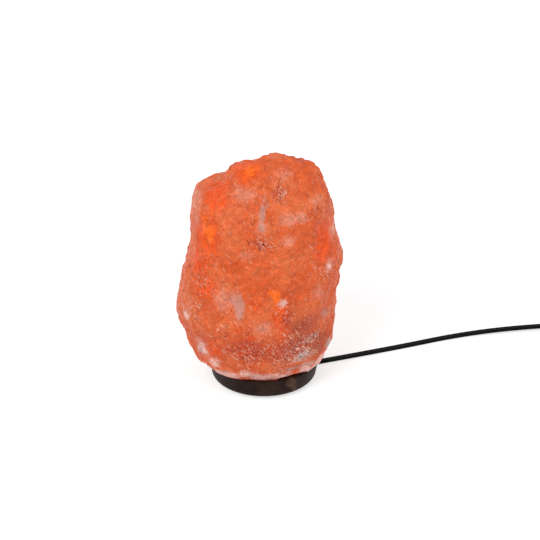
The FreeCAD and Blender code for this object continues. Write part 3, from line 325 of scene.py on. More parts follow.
def rock_salt():
    """Broken rock salt lit from inside: waxy, mottled orange with grey veins, torn milky patches, short pale cleavage
    streaks and dark cracks, a frosted sawn edge, where no lamp light comes a whitish crust, and painted shade: darker,
    dimmer patches, mostly low on the right, where less of the bulb's light comes through. The mesh's attributes say
    where each of them lies."""
    made, tree = blank("rock_salt")
    place = add(tree, "TexCoord").outputs["Object"]
    wrap = add(tree, "UVMap", uv_map="wrap").outputs[0]
    rough = add(tree, "Attribute", attribute_name="rough").outputs["Fac"]
    # Three unlike clouds at each of five sizes, 22, 12, 5.5, 3 and 1.5 mm
    clouds = []
    for size, detail in ((0.022, 3.0), (0.012, 2.0), (0.0055, 5.0), (0.0030, 3.0), (0.0015, 2.0)):
        cloud = add(tree, "TexNoise", {"Vector": place, "Scale": 1 / size, "Detail": detail,
                                       "Roughness": 0.66}).outputs[1]
        clouds.append(add(tree, "SeparateColor", {0: cloud}).outputs)
    broad, cluster, torn, flake, grain = clouds
    warmth = add(tree, "MapRange", {"Value": broad[0], "From Min": 0.40, "From Max": 0.60}).outputs[0]
    colour = add(tree, "Mix", {0: warmth, 6: linear("#B65220"), 7: linear("#BE6438")}, data_type="RGBA").outputs[2]
    light = add(tree, "Mix", {0: warmth, 6: linear("#862004"), 7: linear("#8A2C0C")}, data_type="RGBA").outputs[2]
    for i, (name, tint, glow, most) in enumerate((
        ("orange", "#BC4804", "#A02600", 0.95),
        ("red", "#9A3218", "#741A04", 0.80),
        ("milk", "#C28872", "#842E18", 0.75),
        ("clear", "#AC8C80", "#743226", 0.75),
        # shade is painted shade: a darker tint and a dimmer glow where less of the bulb's light comes through
        ("shade", "#9A482E", "#5E1808", 0.80),
        ("frost", "#EACCC2", "#743024", 0.90),
        ("crust", "#D4C6BE", "#24170F", 0.90),
        ("glow", "#C85E10", "#AC3A02", 0.90),
    )):
        mask = add(tree, "Attribute", attribute_name=name).outputs["Fac"]
        mask = add(tree, "Math", {0: torn[i % 3], 1: 1.3, 2: mask}, operation="MULTIPLY_ADD").outputs[0]
        mask = add(tree, "Math", {0: grain[i % 3], 1: 0.6, 2: mask}, operation="MULTIPLY_ADD").outputs[0]
        mask = add(tree, "MapRange", {"Value": mask, "From Min": 1.10, "From Max": 1.75, "To Max": most},
                   interpolation_type="SMOOTHSTEP").outputs[0]
        colour = add(tree, "Mix", {0: mask, 6: colour, 7: linear(tint)}, data_type="RGBA").outputs[2]
        light = add(tree, "Mix", {0: mask, 6: light, 7: linear(glow)}, data_type="RGBA").outputs[2]
    # Mottling of 5.5 mm and 1.5 mm, both drawn through every patch
    for cloud, least, most in ((torn[1], 0.82, 1.18), (grain[2], 0.87, 1.13)):
        level = add(tree, "MapRange", {"Value": cloud, "From Min": 0.34, "From Max": 0.66,
                                       "To Min": least, "To Max": most}).outputs[0]
        colour = add(tree, "VectorMath", {0: colour, "Scale": level}, operation="SCALE").outputs[0]
        light = add(tree, "VectorMath", {0: light, "Scale": level}, operation="SCALE").outputs[0]
    # Cleavage lines up to 8.5 mm long, two sets of pale ones and two of dark cracks, drawn coarser than real so that
    # they show, and gathered in clusters and in the rough parts
    strokes = []
    for slant, length, width, crowd in ((-56.0, 0.0085, 0.00125, 0), (-38.0, 0.0070, 0.00120, 1),
                                        (-74.0, 0.0080, 0.00130, 1), (40.0, 0.0065, 0.00125, 2)):
        laid = add(tree, "Mapping", {"Vector": wrap, "Rotation": (0.0, 0.0, math.radians(slant)),
                                     "Scale": (length, width, 1.0)}, vector_type="TEXTURE").outputs[0]
        line = add(tree, "TexNoise", {"Vector": laid, "Scale": 1.0, "Detail": 1.0}, noise_dimensions="2D").outputs[0]
        line = add(tree, "Math", {0: cluster[crowd], 1: 0.34, 2: line}, operation="MULTIPLY_ADD").outputs[0]
        line = add(tree, "Math", {0: rough, 1: 0.110, 2: line}, operation="MULTIPLY_ADD").outputs[0]
        strokes.append(add(tree, "MapRange", {"Value": line, "From Min": 0.935, "From Max": 1.01}).outputs[0])
    pale = add(tree, "Math", {0: strokes[0], 1: strokes[1]}, operation="MAXIMUM").outputs[0]
    crack = add(tree, "Math", {0: strokes[2], 1: strokes[3]}, operation="MAXIMUM").outputs[0]
    # Flakes of 3 mm and grains of 1 to 2 mm, pale and dark, rare on the clear faces and thick in the rough parts
    marks = []
    for cloud, edge, gain in ((flake[1], 0.712, 0.155), (grain[1], 0.805, 0.197),
                              (flake[0], 0.690, 0.125), (grain[0], 0.790, 0.180)):
        mark = add(tree, "Math", {0: rough, 1: gain, 2: cloud}, operation="MULTIPLY_ADD").outputs[0]
        mark = add(tree, "MapRange", {"Value": mark, "From Min": edge - 0.04, "From Max": edge + 0.04})
        marks.append(mark.outputs[0])
    for mark, tint, glow, most in ((marks[0], "#842C16", "#460E04", 0.70), (crack, "#6C2210", "#440E04", 0.70),
                                   (marks[1], "#561C10", "#300A04", 0.75), (marks[2], "#DCA48E", "#70261A", 0.55),
                                   (pale, "#F8CCB2", "#701C0A", 0.78), (marks[3], "#FBE6DC", "#60201A", 0.85)):
        share = add(tree, "Math", {0: mark, 1: most}, operation="MULTIPLY").outputs[0]
        colour = add(tree, "Mix", {0: share, 6: colour, 7: linear(tint)}, data_type="RGBA").outputs[2]
        light = add(tree, "Mix", {0: share, 6: light, 7: linear(glow)}, data_type="RGBA").outputs[2]
    height = add(tree, "Math", {0: grain[2], 1: pale}, operation="ADD").outputs[0]
    height = add(tree, "Math", {0: height, 1: crack}, operation="SUBTRACT").outputs[0]
    bump = add(tree, "Bump", {"Height": height, "Strength": 0.7, "Distance": 0.0006}).outputs[0]
    gloss = add(tree, "MapRange", {"Value": torn[0], "From Min": 0.34, "From Max": 0.66,
                                   "To Min": 0.34, "To Max": 0.60}).outputs[0]
    finish_with(tree, {"Base Color": colour, "Roughness": gloss, "IOR": 1.544, "Specular IOR Level": 0.25,
                       "Normal": bump, "Emission Color": light, "Emission Strength": 1.0})
    return made


def stained_wood():
    """Turned hardwood, stained nearly black and oiled: dark lines of grain run across the disc, with one paler
    flame of figure at the front, under a soft sheen."""
    made, tree = blank("dark_stained_wood")
    place = add(tree, "TexCoord").outputs["Object"]
    laid = add(tree, "Mapping", {"Vector": place, "Rotation": (0.0, 0.12, 0.35), "Scale": (0.060, 0.0035, 0.0030)},
               vector_type="TEXTURE").outputs[0]
    grain = add(tree, "TexNoise", {"Vector": laid, "Scale": 1.0, "Detail": 5.0, "Roughness": 0.62}).outputs[0]
    cloud = add(tree, "TexNoise", {"Vector": place, "Scale": 1 / 0.014, "Detail": 3.0}).outputs[0]
    pores = add(tree, "Mapping", {"Vector": place, "Rotation": (0.0, 0.12, 0.35), "Scale": (0.009, 0.0009, 0.0009)},
                vector_type="TEXTURE").outputs[0]
    pores = add(tree, "TexNoise", {"Vector": pores, "Scale": 1.0, "Detail": 2.0}).outputs[0]
    pores = add(tree, "MapRange", {"Value": pores, "From Min": 0.56, "From Max": 0.70}).outputs[0]
    lines = add(tree, "MapRange", {"Value": grain, "From Min": 0.36, "From Max": 0.66}).outputs[0]
    colour = add(tree, "Mix", {0: lines, 6: linear("#140B07"), 7: linear("#2A1912")}, data_type="RGBA").outputs[2]
    cloud = add(tree, "MapRange", {"Value": cloud, "From Min": 0.42, "From Max": 0.68, "To Max": 0.75}).outputs[0]
    colour = add(tree, "Mix", {0: cloud, 6: colour, 7: linear("#3A2720")}, data_type="RGBA").outputs[2]
    warp = add(tree, "TexNoise", {"Vector": place, "Scale": 1 / 0.006, "Detail": 2.0}).outputs[1]
    bent = add(tree, "VectorMath", {0: warp, 1: (0.5, 0.5, 0.5)}, operation="SUBTRACT").outputs[0]
    bent = add(tree, "VectorMath", {0: bent, "Scale": 0.010}, operation="SCALE").outputs[0]
    bent = add(tree, "VectorMath", {0: place, 1: bent}, operation="ADD").outputs[0]
    for spot, reach in (((0.0245, -0.0425, 0.0145), 0.0062), ((0.0270, -0.0405, 0.0080), 0.0044)):
        away = add(tree, "VectorMath", {0: bent, 1: spot}, operation="DISTANCE").outputs["Value"]
        flame = add(tree, "MapRange", {"Value": away, "From Min": reach, "From Max": reach * 0.4,
                                       "To Max": 0.7}).outputs[0]
        colour = add(tree, "Mix", {0: flame, 6: colour, 7: linear("#6A4E3A")}, data_type="RGBA").outputs[2]
    deep = add(tree, "Math", {0: pores, 1: 0.6}, operation="MULTIPLY").outputs[0]
    colour = add(tree, "Mix", {0: deep, 6: colour, 7: linear("#0C0605")}, data_type="RGBA").outputs[2]
    relief = add(tree, "Math", {0: lines, 1: pores}, operation="SUBTRACT").outputs[0]
    bump = add(tree, "Bump", {"Height": relief, "Strength": 0.35, "Distance": 0.0004}).outputs[0]
    gloss = add(tree, "MapRange", {"Value": grain, "To Min": 0.40, "To Max": 0.62}).outputs[0]
    finish_with(tree, {"Base Color": colour, "Roughness": gloss, "IOR": 1.48, "Specular IOR Level": 0.1,
                       "Normal": bump})
    return made


def wool_felt():
    """Pressed dark felt: tangled fibres, drawn 0.8 mm apart, that give a dull, soft edge."""
    made, tree = blank("pressed_felt")
    place = add(tree, "TexCoord").outputs["Object"]
    fibres = add(tree, "TexNoise", {"Vector": place, "Scale": 1 / 0.0008, "Detail": 4.0, "Distortion": 1.4}).outputs[0]
    colour = add(tree, "Mix", {0: fibres, 6: linear("#231F1E"), 7: linear("#4A4340")}, data_type="RGBA").outputs[2]
    bump = add(tree, "Bump", {"Height": fibres, "Strength": 0.8, "Distance": 0.0003}).outputs[0]
    finish_with(tree, {"Base Color": colour, "Roughness": 0.95, "Normal": bump, "Sheen Weight": 0.35,
                       "Sheen Roughness": 0.5})
    return made


def moulded(name, dark, pale, grain, roughness, ior=1.5, specular=0.5, depth=0.00006):
    """Plastic as it leaves the mould: an even fine grain of the given size in the gloss and the surface, and a
    slight cloud in the colour."""
    made, tree = blank(name)
    place = add(tree, "TexCoord").outputs["Object"]
    texture = add(tree, "TexNoise", {"Vector": place, "Scale": 1 / grain, "Detail": 2.0}).outputs[0]
    cloud = add(tree, "TexNoise", {"Vector": place, "Scale": 1 / 0.012, "Detail": 2.0}).outputs[0]
    colour = add(tree, "Mix", {0: cloud, 6: linear(dark), 7: linear(pale)}, data_type="RGBA").outputs[2]
    gloss = add(tree, "MapRange", {"Value": texture, "To Min": roughness - 0.08, "To Max": roughness + 0.08}).outputs[0]
    bump = add(tree, "Bump", {"Height": texture, "Strength": 0.4, "Distance": depth}).outputs[0]
    finish_with(tree, {"Base Color": colour, "Roughness": gloss, "IOR": ior, "Specular IOR Level": specular,
                       "Normal": bump})
    return made


def worked_metal(name, dark, pale, roughness, line):
    """Sheet or turned metal: fine drawing lines of the given spacing, and a gloss that changes over centimetres."""
    made, tree = blank(name)
    place = add(tree, "TexCoord").outputs["Object"]
    laid = add(tree, "Mapping", {"Vector": place, "Scale": (line * 12, line * 12, line)},
               vector_type="TEXTURE").outputs[0]
    lines = add(tree, "TexNoise", {"Vector": laid, "Scale": 1.0, "Detail": 2.0}).outputs[0]
    cloud = add(tree, "TexNoise", {"Vector": place, "Scale": 1 / 0.006, "Detail": 2.0}).outputs[0]
    colour = add(tree, "Mix", {0: cloud, 6: linear(dark), 7: linear(pale)}, data_type="RGBA").outputs[2]
    gloss = add(tree, "MapRange", {"Value": lines, "To Min": roughness - 0.1, "To Max": roughness + 0.1}).outputs[0]
    bump = add(tree, "Bump", {"Height": lines, "Strength": 0.25, "Distance": 0.00004}).outputs[0]
    finish_with(tree, {"Base Color": colour, "Roughness": gloss, "Metallic": 1.0, "Normal": bump})
    return made


def blown_glass():
    """Clear soda-lime glass, with the faint streaks of the blowing in its gloss."""
    made, tree = blank("clear_blown_glass")
    place = add(tree, "TexCoord").outputs["Object"]
    wave = add(tree, "TexNoise", {"Vector": place, "Scale": 1 / 0.008, "Detail": 1.0}).outputs[0]
    gloss = add(tree, "MapRange", {"Value": wave, "To Min": 0.01, "To Max": 0.05}).outputs[0]
    finish_with(tree, {"Base Color": linear("#FFF6EA"), "Roughness": gloss, "IOR": 1.52, "Transmission Weight": 1.0})
    return made


def lit_tungsten():
    """The glowing wire, hotter at the middle of each loop than where it touches its leads."""
    made, tree = blank("lit_tungsten_wire")
    place = add(tree, "TexCoord").outputs["Object"]
    heat = add(tree, "TexNoise", {"Vector": place, "Scale": 1 / 0.002, "Detail": 1.0}).outputs[0]
    colour = add(tree, "Mix", {0: heat, 6: linear("#FFB25A"), 7: linear("#FFE2B0")}, data_type="RGBA").outputs[2]
    finish_with(tree, {"Base Color": linear("#6B5A4C"), "Metallic": 1.0, "Roughness": 0.5,
                       "Emission Color": colour, "Emission Strength": 4.0})
    return made


def dial_plastic():
    """Black moulded plastic, with the raised mark on top, the only part over its upper face, printed white."""
    made, tree = blank("dial_moulded_plastic")
    place = add(tree, "TexCoord").outputs["Object"]
    height = add(tree, "SeparateXYZ", {0: place}).outputs[2]
    mark = add(tree, "MapRange", {"Value": height, "From Min": 0.02010, "From Max": 0.02025}).outputs[0]
    texture = add(tree, "TexNoise", {"Vector": place, "Scale": 1 / 0.0006, "Detail": 2.0}).outputs[0]
    black = add(tree, "Mix", {0: texture, 6: linear("#141415"), 7: linear("#1F1F21")}, data_type="RGBA").outputs[2]
    colour = add(tree, "Mix", {0: mark, 6: black, 7: linear("#DCDCD8")}, data_type="RGBA").outputs[2]
    bump = add(tree, "Bump", {"Height": texture, "Strength": 0.3, "Distance": 0.00005}).outputs[0]
    finish_with(tree, {"Base Color": colour, "Roughness": 0.38, "IOR": 1.53, "Normal": bump})
    return made


SALT = rock_salt()
WOOD = stained_wood()
FELT = wool_felt()
VINYL = moulded("black_vinyl_flex", "#030304", "#070708", 0.0012, 0.24, 1.53, 0.06)
ABS = moulded("black_moulded_case", "#101011", "#18181A", 0.0005, 0.50, 1.53, 0.3)
SOFT_VINYL = moulded("black_soft_vinyl", "#0E0E0F", "#161617", 0.0008, 0.55, 1.53, 0.25)
PHENOLIC = moulded("black_phenolic_resin", "#17120F", "#231B17", 0.0015, 0.30, 1.6)
NYLON = moulded("grey_nylon", "#A9A9A2", "#BDBDB5", 0.0010, 0.45, 1.53)
TIE = moulded("tie_plastic", "#111112", "#1A1A1B", 0.0006, 0.42, 1.5, 0.3)
POT = moulded("blue_moulded_plastic", "#1D2F55", "#27406E", 0.0006, 0.40, 1.5)
BOARD = moulded("green_circuit_laminate", "#1C4A26", "#2B6335", 0.0007, 0.35, 1.55)
CEMENT = moulded("dark_vitrified_glass", "#1B1620", "#2A2430", 0.0010, 0.15, 1.6)
ZINC = worked_metal("zinc_plated_steel", "#B4B4AE", "#CDCDC8", 0.32, 0.0003)
SPRING = worked_metal("spring_steel_strip", "#8F9498", "#A7ACB0", 0.30, 0.0003)
BRASS = worked_metal("plain_brass", "#C79F56", "#DDBA72", 0.28, 0.0003)
NICKEL = worked_metal("nickel_plated_brass", "#BDB9AE", "#D2CFC5", 0.20, 0.0003)
COPPER = worked_metal("bare_copper", "#B9683F", "#D4855A", 0.30, 0.0003)
GLASS = blown_glass()
TUNGSTEN = lit_tungsten()
DIAL = dial_plastic()

NODE_FINISHES = {
    "wooden_base": WOOD,
    "base_screws": ZINC,
    "screw_anchors": NYLON,
    "socket_cap": PHENOLIC,
    "socket_housing": PHENOLIC,
    "socket_shell": BRASS,
    "socket_contact": BRASS,
    "socket_terminals": BRASS,
    "socket_screws": ZINC,
    "spring_bracket": SPRING,
    "bulb_glass": GLASS,
    "bulb_shell": NICKEL,
    "bulb_insulator": CEMENT,
    "bulb_foot": ZINC,
    "bulb_stem": GLASS,
    "bulb_leads": NICKEL,
    "bulb_filament": TUNGSTEN,
    "core_wires": COPPER,
    "dimmer_lower_shell": ABS,
    "dimmer_upper_shell": ABS,
    "dimmer_dial": DIAL,
    "dimmer_potentiometer": POT,
    "dimmer_board": BOARD,
    "dimmer_screws": ZINC,
    "dimmer_relief_in": SOFT_VINYL,
    "dimmer_relief_out": SOFT_VINYL,
    "cord_tie": TIE,
    "plug_relief": SOFT_VINYL,
    "plug_body": SOFT_VINYL,
    "plug_blades": NICKEL,
}
for node_name, finish in NODE_FINISHES.items():
    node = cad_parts[node_name]
    node.data.materials.clear()
    node.data.materials.append(finish)


# Cords in place

side = np.array([-math.sin(CORD_AZIMUTH), math.cos(CORD_AZIMUTH), 0.0])
cord_run = piece("cord_run", twin_flex("cord_run", run_line, side), "cordset", VINYL,
                 ["cord_to_dimmer"])

piece("cord_in_base", twin_flex("cord_in_base", inner_line, side), "cordset", VINYL, ["cord_inner"])

# The lead turns from flat to on edge over its first stretch, and the coil is wound on edge
upright = smoothstep(travelled(lead_line) / LEAD_TWIST)[:, None] * math.pi / 2
level = np.cross(UP, unit(np.gradient(lead_line, axis=0)))
cord_coil = piece("cord_coiled", twin_flex("cord_coiled", lead_line, level * np.cos(upright) + UP * np.sin(upright)),
                  "cordset", VINYL, ["cord_lead", "cord_coil"])


# The crystal

BASE_TOP = 19.0
BORE_R = 23.0
BORE_TOP = 124.0
BORE_ROUND = 6.0
# Height over the base, then the left, right, front and back reach of each section, in millimetres
SECTIONS = np.array([
    (0.0, -53.5, 55.5, -46.5, 49.0),
    (8.0, -61.5, 59.5, -51.5, 54.0),
    (22.0, -67.5, 61.0, -56.0, 57.0),
    (37.0, -71.5, 62.5, -58.5, 59.5),
    (52.0, -77.5, 63.0, -60.0, 60.5),
    (66.0, -74.0, 64.0, -60.5, 61.0),
    (82.0, -71.5, 65.5, -60.5, 60.5),
    (97.0, -68.0, 69.0, -60.0, 59.0),
    (112.0, -64.0, 66.0, -58.5, 57.0),
    (128.0, -63.0, 61.5, -56.0, 55.0),
    (143.0, -62.0, 60.0, -53.5, 51.0),
    (157.0, -60.0, 58.5, -49.5, 44.0),
    (166.0, -54.5, 57.0, -43.0, 33.0),
    (174.0, -35.0, 53.5, -34.0, 28.0),
    (181.5, -30.5, 52.0, -24.0, 24.0),
    (185.5, -18.0, 45.0, -17.0, 19.0),
    (189.0, -4.0, 30.0, -11.0, 14.0),
    (193.0, 5.0, 27.0, -4.0, 10.0),
])
SECTION_POINTS = 16      # round each section of the part's source
# Flats as the block was hewn: each one's azimuth and rise, and how far inside the block's furthest point it lies
FLATS = np.array([
    (-94.0, 4.0, 3.0),
    (-128.0, 9.0, 2.5),
    (-158.0, 2.0, 2.5),
    (-58.0, 5.0, 3.0),
    (-26.0, -3.0, 2.5),
    (-112.0, 34.0, 3.5),
    (-150.0, 40.0, 2.0),
    (-74.0, 38.0, 3.0),
    (-34.0, 36.0, 2.5),
    (-100.0, -16.0, 2.0),
    (-62.0, -20.0, 3.0),
    (-140.0, -18.0, 3.0),
    (-12.0, -22.0, 2.0),
    (6.0, 14.0, 2.0),
    (34.0, 3.0, 4.5),
    (66.0, -9.0, 4.5),
    (92.0, 7.0, 5.0),
    (124.0, -4.0, 4.5),
    (154.0, 8.0, 3.5),
    (176.0, -20.0, 2.5),
    (44.0, 33.0, 4.5),
    (88.0, 36.0, 4.0),
    (126.0, 36.0, 3.0),
    (24.0, -24.0, 3.5),
    (80.0, -27.0, 4.0),
    (120.0, -26.0, 4.0),
    (10.0, 58.0, 1.5),
    (-100.0, 62.0, 1.5),
    (150.0, 60.0, 1.5),
    (0.0, 90.0, 1.0),
])
# Lumps and hollows seen along the outline: place, reach and how far each stands out, in millimetres
LUMPS = [
    (-9, 15, 206, 9, -3.5), (-24, 16, 199, 8, 1.0), (-31, 8, 197, 6, -2.0), (-52, 9, 184, 8, 2.0),
    (-44, 16, 184, 8, 1.6), (25, 9, 211, 6, -3.5), (34, 9, 206, 6, -0.8), (53, -2, 194, 8, -3.0),
    (58, 2, 179, 8, -0.8), (-60, 0, 136, 7, -0.9), (66, -8, 107, 6, -2.0), (62, -2, 98, 6, 2.0),
    (62, -3, 86, 7, -1.6), (57, -20, 32, 9, -5.0), (52, -22, 26, 8, -3.0),
    (-54, -19, 36, 6, 1.0), (-46, -26, 25, 6, -1.5), (-34, -38, 20, 12, -2.2), (-14, -46, 20, 12, -2.2),
    (8, -47, 20, 12, -2.2), (28, -42, 20, 12, -1.6), (46, -30, 20, 12, -1.6),
]
COLUMNS = 372
OUTER_ROWS = 206
TOP_ROWS = 9
SAWN_ROWS = 10
BORE_ROWS = 10           # down its straight wall
# The UV map's lengths in metres: round the block, up its inside and over its top
WRAP_ROUND = 0.40
WRAP_INSIDE = 0.16
WRAP_TOP = 0.01
# Patches seen on the front: place, reach across and reach up in millimetres, and strength
PATCHES = {
    "glow": [
        (-46, -39, 158, 5, 11, 1.0), (-49, -35, 167, 5, 6, 0.6), (-11, -13, 205, 6, 6, 0.8), (-10, -22, 200, 4, 6, 0.5),
        (9, -59, 108, 5, 9, 0.8), (14, -58, 91, 5, 7, 0.4),
    ],
    "orange": [
        (-40, -27, 188, 12, 15, 1.0), (50, -30, 146, 9, 18, 1.0), (-54, -36, 130, 12, 16, 0.7),
        (-48, -46, 110, 12, 14, 0.7), (-41, -52, 52, 9, 9, 0.8), (-8, -60, 101, 9, 12, 0.6),
        (15, -58, 88, 8, 14, 1.0), (-14, -15, 204, 14, 9, 0.9),
        (54, -25, 128, 8, 14, 0.6), (-46, -40, 155, 13, 18, 0.9),
    ],
    "red": [
        (-14, -58, 56, 28, 15, 0.75), (14, -58, 54, 22, 13, 0.75), (20, -56, 84, 5, 12, 0.8),
        (14, -30, 192, 10, 6, 0.6),
        (-2, -52, 156, 9, 7, 0.7), (50, -30, 152, 5, 8, 0.35), (40, -40, 110, 10, 8, 0.45), (-52, -44, 62, 8, 12, 0.5),
    ],
    "clear": [
        (0, -46, 180, 3, 12, 1.0), (-1, -48, 172, 4, 8, 0.8), (-21, -59, 97, 5, 14, 1.0), (-24, -58, 106, 6, 9, 0.7),
        (53, -33, 79, 6, 8, 0.7), (-3, -50, 188, 5, 5, 0.6),
    ],
    "milk": [
        (25, -43, 173, 13, 5, 0.9), (21, -50, 157, 6, 6, 0.8), (-16, -54, 144, 7, 6, 0.6),
        (-35, -55, 104, 10, 13, 0.75),
        (-56, -26, 164, 7, 8, 0.7), (-59, -12, 180, 8, 18, 0.9), (55, -32, 125, 7, 6, 1.0), (15, -57, 102, 4, 4, 1.0),
        (46, -44, 105, 9, 8, 0.6), (-15, -34, 191, 12, 7, 0.65), (17, -21, 203, 10, 6, 0.6), (-1, -60, 78, 13, 6, 0.75),
        (44, -25, 183, 8, 5, 0.6), (-67, -38, 84, 7, 9, 0.7), (58, -18, 150, 4, 9, 0.8), (-13, -30, 200, 5, 5, 0.5),
    ],
    "frost": [
        (-67, -39, 79, 4, 5, 1.0), (-44, -48, 36, 7, 8, 0.7), (-54, -40, 47, 6, 10, 0.8), (-16, -50, 27, 10, 6, 0.8),
        (15, -57, 102, 4, 4, 0.7), (55, -32, 125, 4, 3, 0.7), (61, -14, 152, 3, 8, 0.8), (-5, -50, 22, 7, 3, 1.4),
        (-26, -46, 22, 6, 3, 1.2), (16, -50, 23, 5, 3, 1.1),
    ],
    "crust": [
        (-56, -38, 45, 4, 9, 0.5), (35, -44, 45, 7, 4, 1.0), (30, -46, 40, 6, 4, 0.9), (57, -19, 38, 3, 12, 1.0),
        (53, -24, 27, 5, 6, 0.9), (24, -47, 29, 14, 3, 0.5), (40, -36, 30, 12, 4, 0.6), (42, -42, 60, 10, 5, 0.5),
    ],
    # Painted shade: patches, mostly low on the right, where the rock is drawn darker and glows less, as less of the
    # bulb's light comes through
    "shade": [
        (35, -49, 74, 17, 14, 0.85), (31, -48, 58, 17, 12, 0.9), (5, -59, 60, 24, 10, 0.3), (24, -56, 92, 6, 12, 0.5),
        (48, -36, 50, 14, 18, 0.85), (-50, -48, 55, 6, 5, 0.5),
    ],
    "rough": [
        (-10, -58, 52, 34, 20, 0.8), (30, -50, 50, 30, 22, 1.0), (17, -56, 94, 9, 16, 0.8), (14, -30, 192, 11, 8, 0.9),
        (-2, -52, 156, 10, 9, 1.0), (46, -28, 172, 14, 12, 0.6), (50, -36, 120, 10, 20, 0.6),
        (-50, -42, 116, 12, 12, 0.6), (-60, -38, 88, 12, 20, 0.6), (-34, -56, 78, 14, 12, 0.5),
    ],
}
# Patches on the back, which isn't seen: the size of their noise in millimetres, its seed and their strength
BACK_PATCHES = {
    "orange": (19.0, 61, 0.9),
    "milk": (14.0, 62, 0.8),
    "clear": (16.0, 63, 0.55),
    "glow": (23.0, 64, 0.6),
    "red": (17.0, 67, 0.6),
    "rough": (15.0, 68, 0.7),
}
BACK_TURN = 0.7          # their noise stands askew, so that its cubes don't show
BACK_LEAN = 0.5


def between(heights, table):
    """The reaches at each height: cubics between the table's rows, with each row's slope from its neighbours."""
    knots, values = table[:, 0], table[:, 1:]
    slopes = np.gradient(values, knots, axis=0)
    i = np.clip(np.searchsorted(knots, heights) - 1, 0, len(knots) - 2)
    step = (knots[i + 1] - knots[i])[:, None]
    t = (heights - knots[i])[:, None] / step
    return ((2 * t ** 3 - 3 * t ** 2 + 1) * values[i] + (t ** 3 - 2 * t ** 2 + t) * step * slopes[i]
            + (3 * t ** 2 - 2 * t ** 3) * values[i + 1] + (t ** 3 - t ** 2) * step * slopes[i + 1])


def section_rings(height, reaches, a):
    """The block's sections, rows up by columns round: between its four reaches each is a superellipse of power
    2.2 - 0.3 cos a, which swells by 4.5% of two waves on its diagonals."""
    left, right, front, back = reaches.T[:, :, None]
    full = 2.2 - 0.3 * np.cos(a)
    reach = (np.abs(np.cos(a) / (right - left) * 2) ** full
             + np.abs(np.sin(a) / (back - front) * 2) ** full) ** (-1 / full)
    wave = np.sin(3 * a + height / 21) + np.sin(5 * a - 2 * height / 21)
    reach = reach * (1 + 0.045 * np.sin(2 * a) ** 2 * wave / 2)
    x = (left + right) / 2 + reach * np.cos(a)
    y = (front + back) / 2 + reach * np.sin(a)
    return np.stack([x, y, BASE_TOP + height + 0 * a], -1)


def crystal_surface():
    """The block's outside before it is hewn. Rows are even along the mean profile, and over the last section they
    close in to a low dome."""
    dense = np.linspace(0, SECTIONS[-1, 0], 2000)
    reaches = between(dense, SECTIONS)
    mean = (reaches[:, 1] - reaches[:, 0] + reaches[:, 3] - reaches[:, 2]) / 4
    way = np.concatenate([[0], np.cumsum(np.hypot(np.diff(dense), np.diff(mean)))])
    heights = np.interp(np.linspace(0, way[-1], OUTER_ROWS), way, dense)
    a = np.linspace(0, 2 * math.pi, COLUMNS, endpoint=False)[None, :] + math.pi / 2
    side_rows = section_rings(heights[:, None], between(heights, SECTIONS), a)
    middle = side_rows[-1].mean(0)
    share = np.linspace(0, 1, TOP_ROWS + 2)[1:-1, None, None]
    dome = middle + (side_rows[-1] - middle) * (1 - share)
    return np.concatenate([side_rows, dome]), way[-1]


def hewn(points):
    """Points past a flat move straight back to it. A flat lies its depth inside the furthest corner point of the
    sections in its direction."""
    a = np.linspace(0, 2 * math.pi, SECTION_POINTS, endpoint=False)[None, :]
    corners = section_rings(SECTIONS[:, :1], SECTIONS[:, 1:], a).reshape(-1, 3)
    for azimuth, rise, depth in FLATS:
        turn, lean = math.radians(azimuth), math.radians(rise)
        way = np.array([math.cos(lean) * math.cos(turn), math.cos(lean) * math.sin(turn), math.sin(lean)])
        past = points @ way - ((corners @ way).max() - depth)
        points = points - way * np.maximum(past, 0)[..., None]
    return points


def crystal_relief(outer):
    """The hewn block with its broken relief: facets of 15, 7 and 3.5 mm, and noise between, along the outward
    direction, which fade towards the sawn edge, and its single lumps and hollows, each out * exp(-d^2 / reach^2). The
    block's own box is kept."""
    shaped = hewn(outer)
    low, high = shaped.reshape(-1, 3).min(0), shaped.reshape(-1, 3).max(0)
    round_way = np.roll(shaped, -1, 1) - np.roll(shaped, 1, 1)
    outward = unit(np.cross(round_way, np.gradient(shaped, axis=0)) + 1e-9)
    lift = (0.7 * noise(shaped, 26.0, 1) + 1.5 * cleavage(shaped, 15.0, 11) + 0.9 * cleavage(shaped, 7.0, 21)
            + 0.5 * cleavage(shaped, 3.5, 31) + 0.3 * noise(shaped, 5.0, 2) - 0.4 * np.abs(noise(shaped, 9.0, 4)) - 0.4)
    rim = smoothstep((shaped[..., 2] - BASE_TOP) / 9.0)
    lift = lift * (0.25 + 0.75 * rim)
    for x, y, z, reach, out in LUMPS:
        lift = lift + out * np.exp(-((shaped - np.array([x, y, z])) ** 2).sum(-1) / reach ** 2)
    moved = shaped + outward * lift[..., None]
    moved[..., 2] = np.where(shaped[..., 2] < BASE_TOP + 0.01, BASE_TOP, moved[..., 2])
    return np.clip(moved, low, high)


def patch(points, spots):
    """How far a point is in a set of patches, 0 to 1: the strongest of strength * exp(-d^2), where d is the offset
    over the patch's reaches, from a place that noise has shifted by up to 2 mm."""
    shifted = points + 2.0 * np.stack([noise(points, 5.0, 40 + k) for k in range(3)], -1)
    most = np.zeros(points.shape[:-1])
    for x, y, z, across, up, strength in spots:
        offset = (shifted - np.array([x, y, z])) / np.array([across, 1.6 * max(across, up), up])
        most = np.maximum(most, strength * np.exp(-(offset ** 2).sum(-1)))
    return most


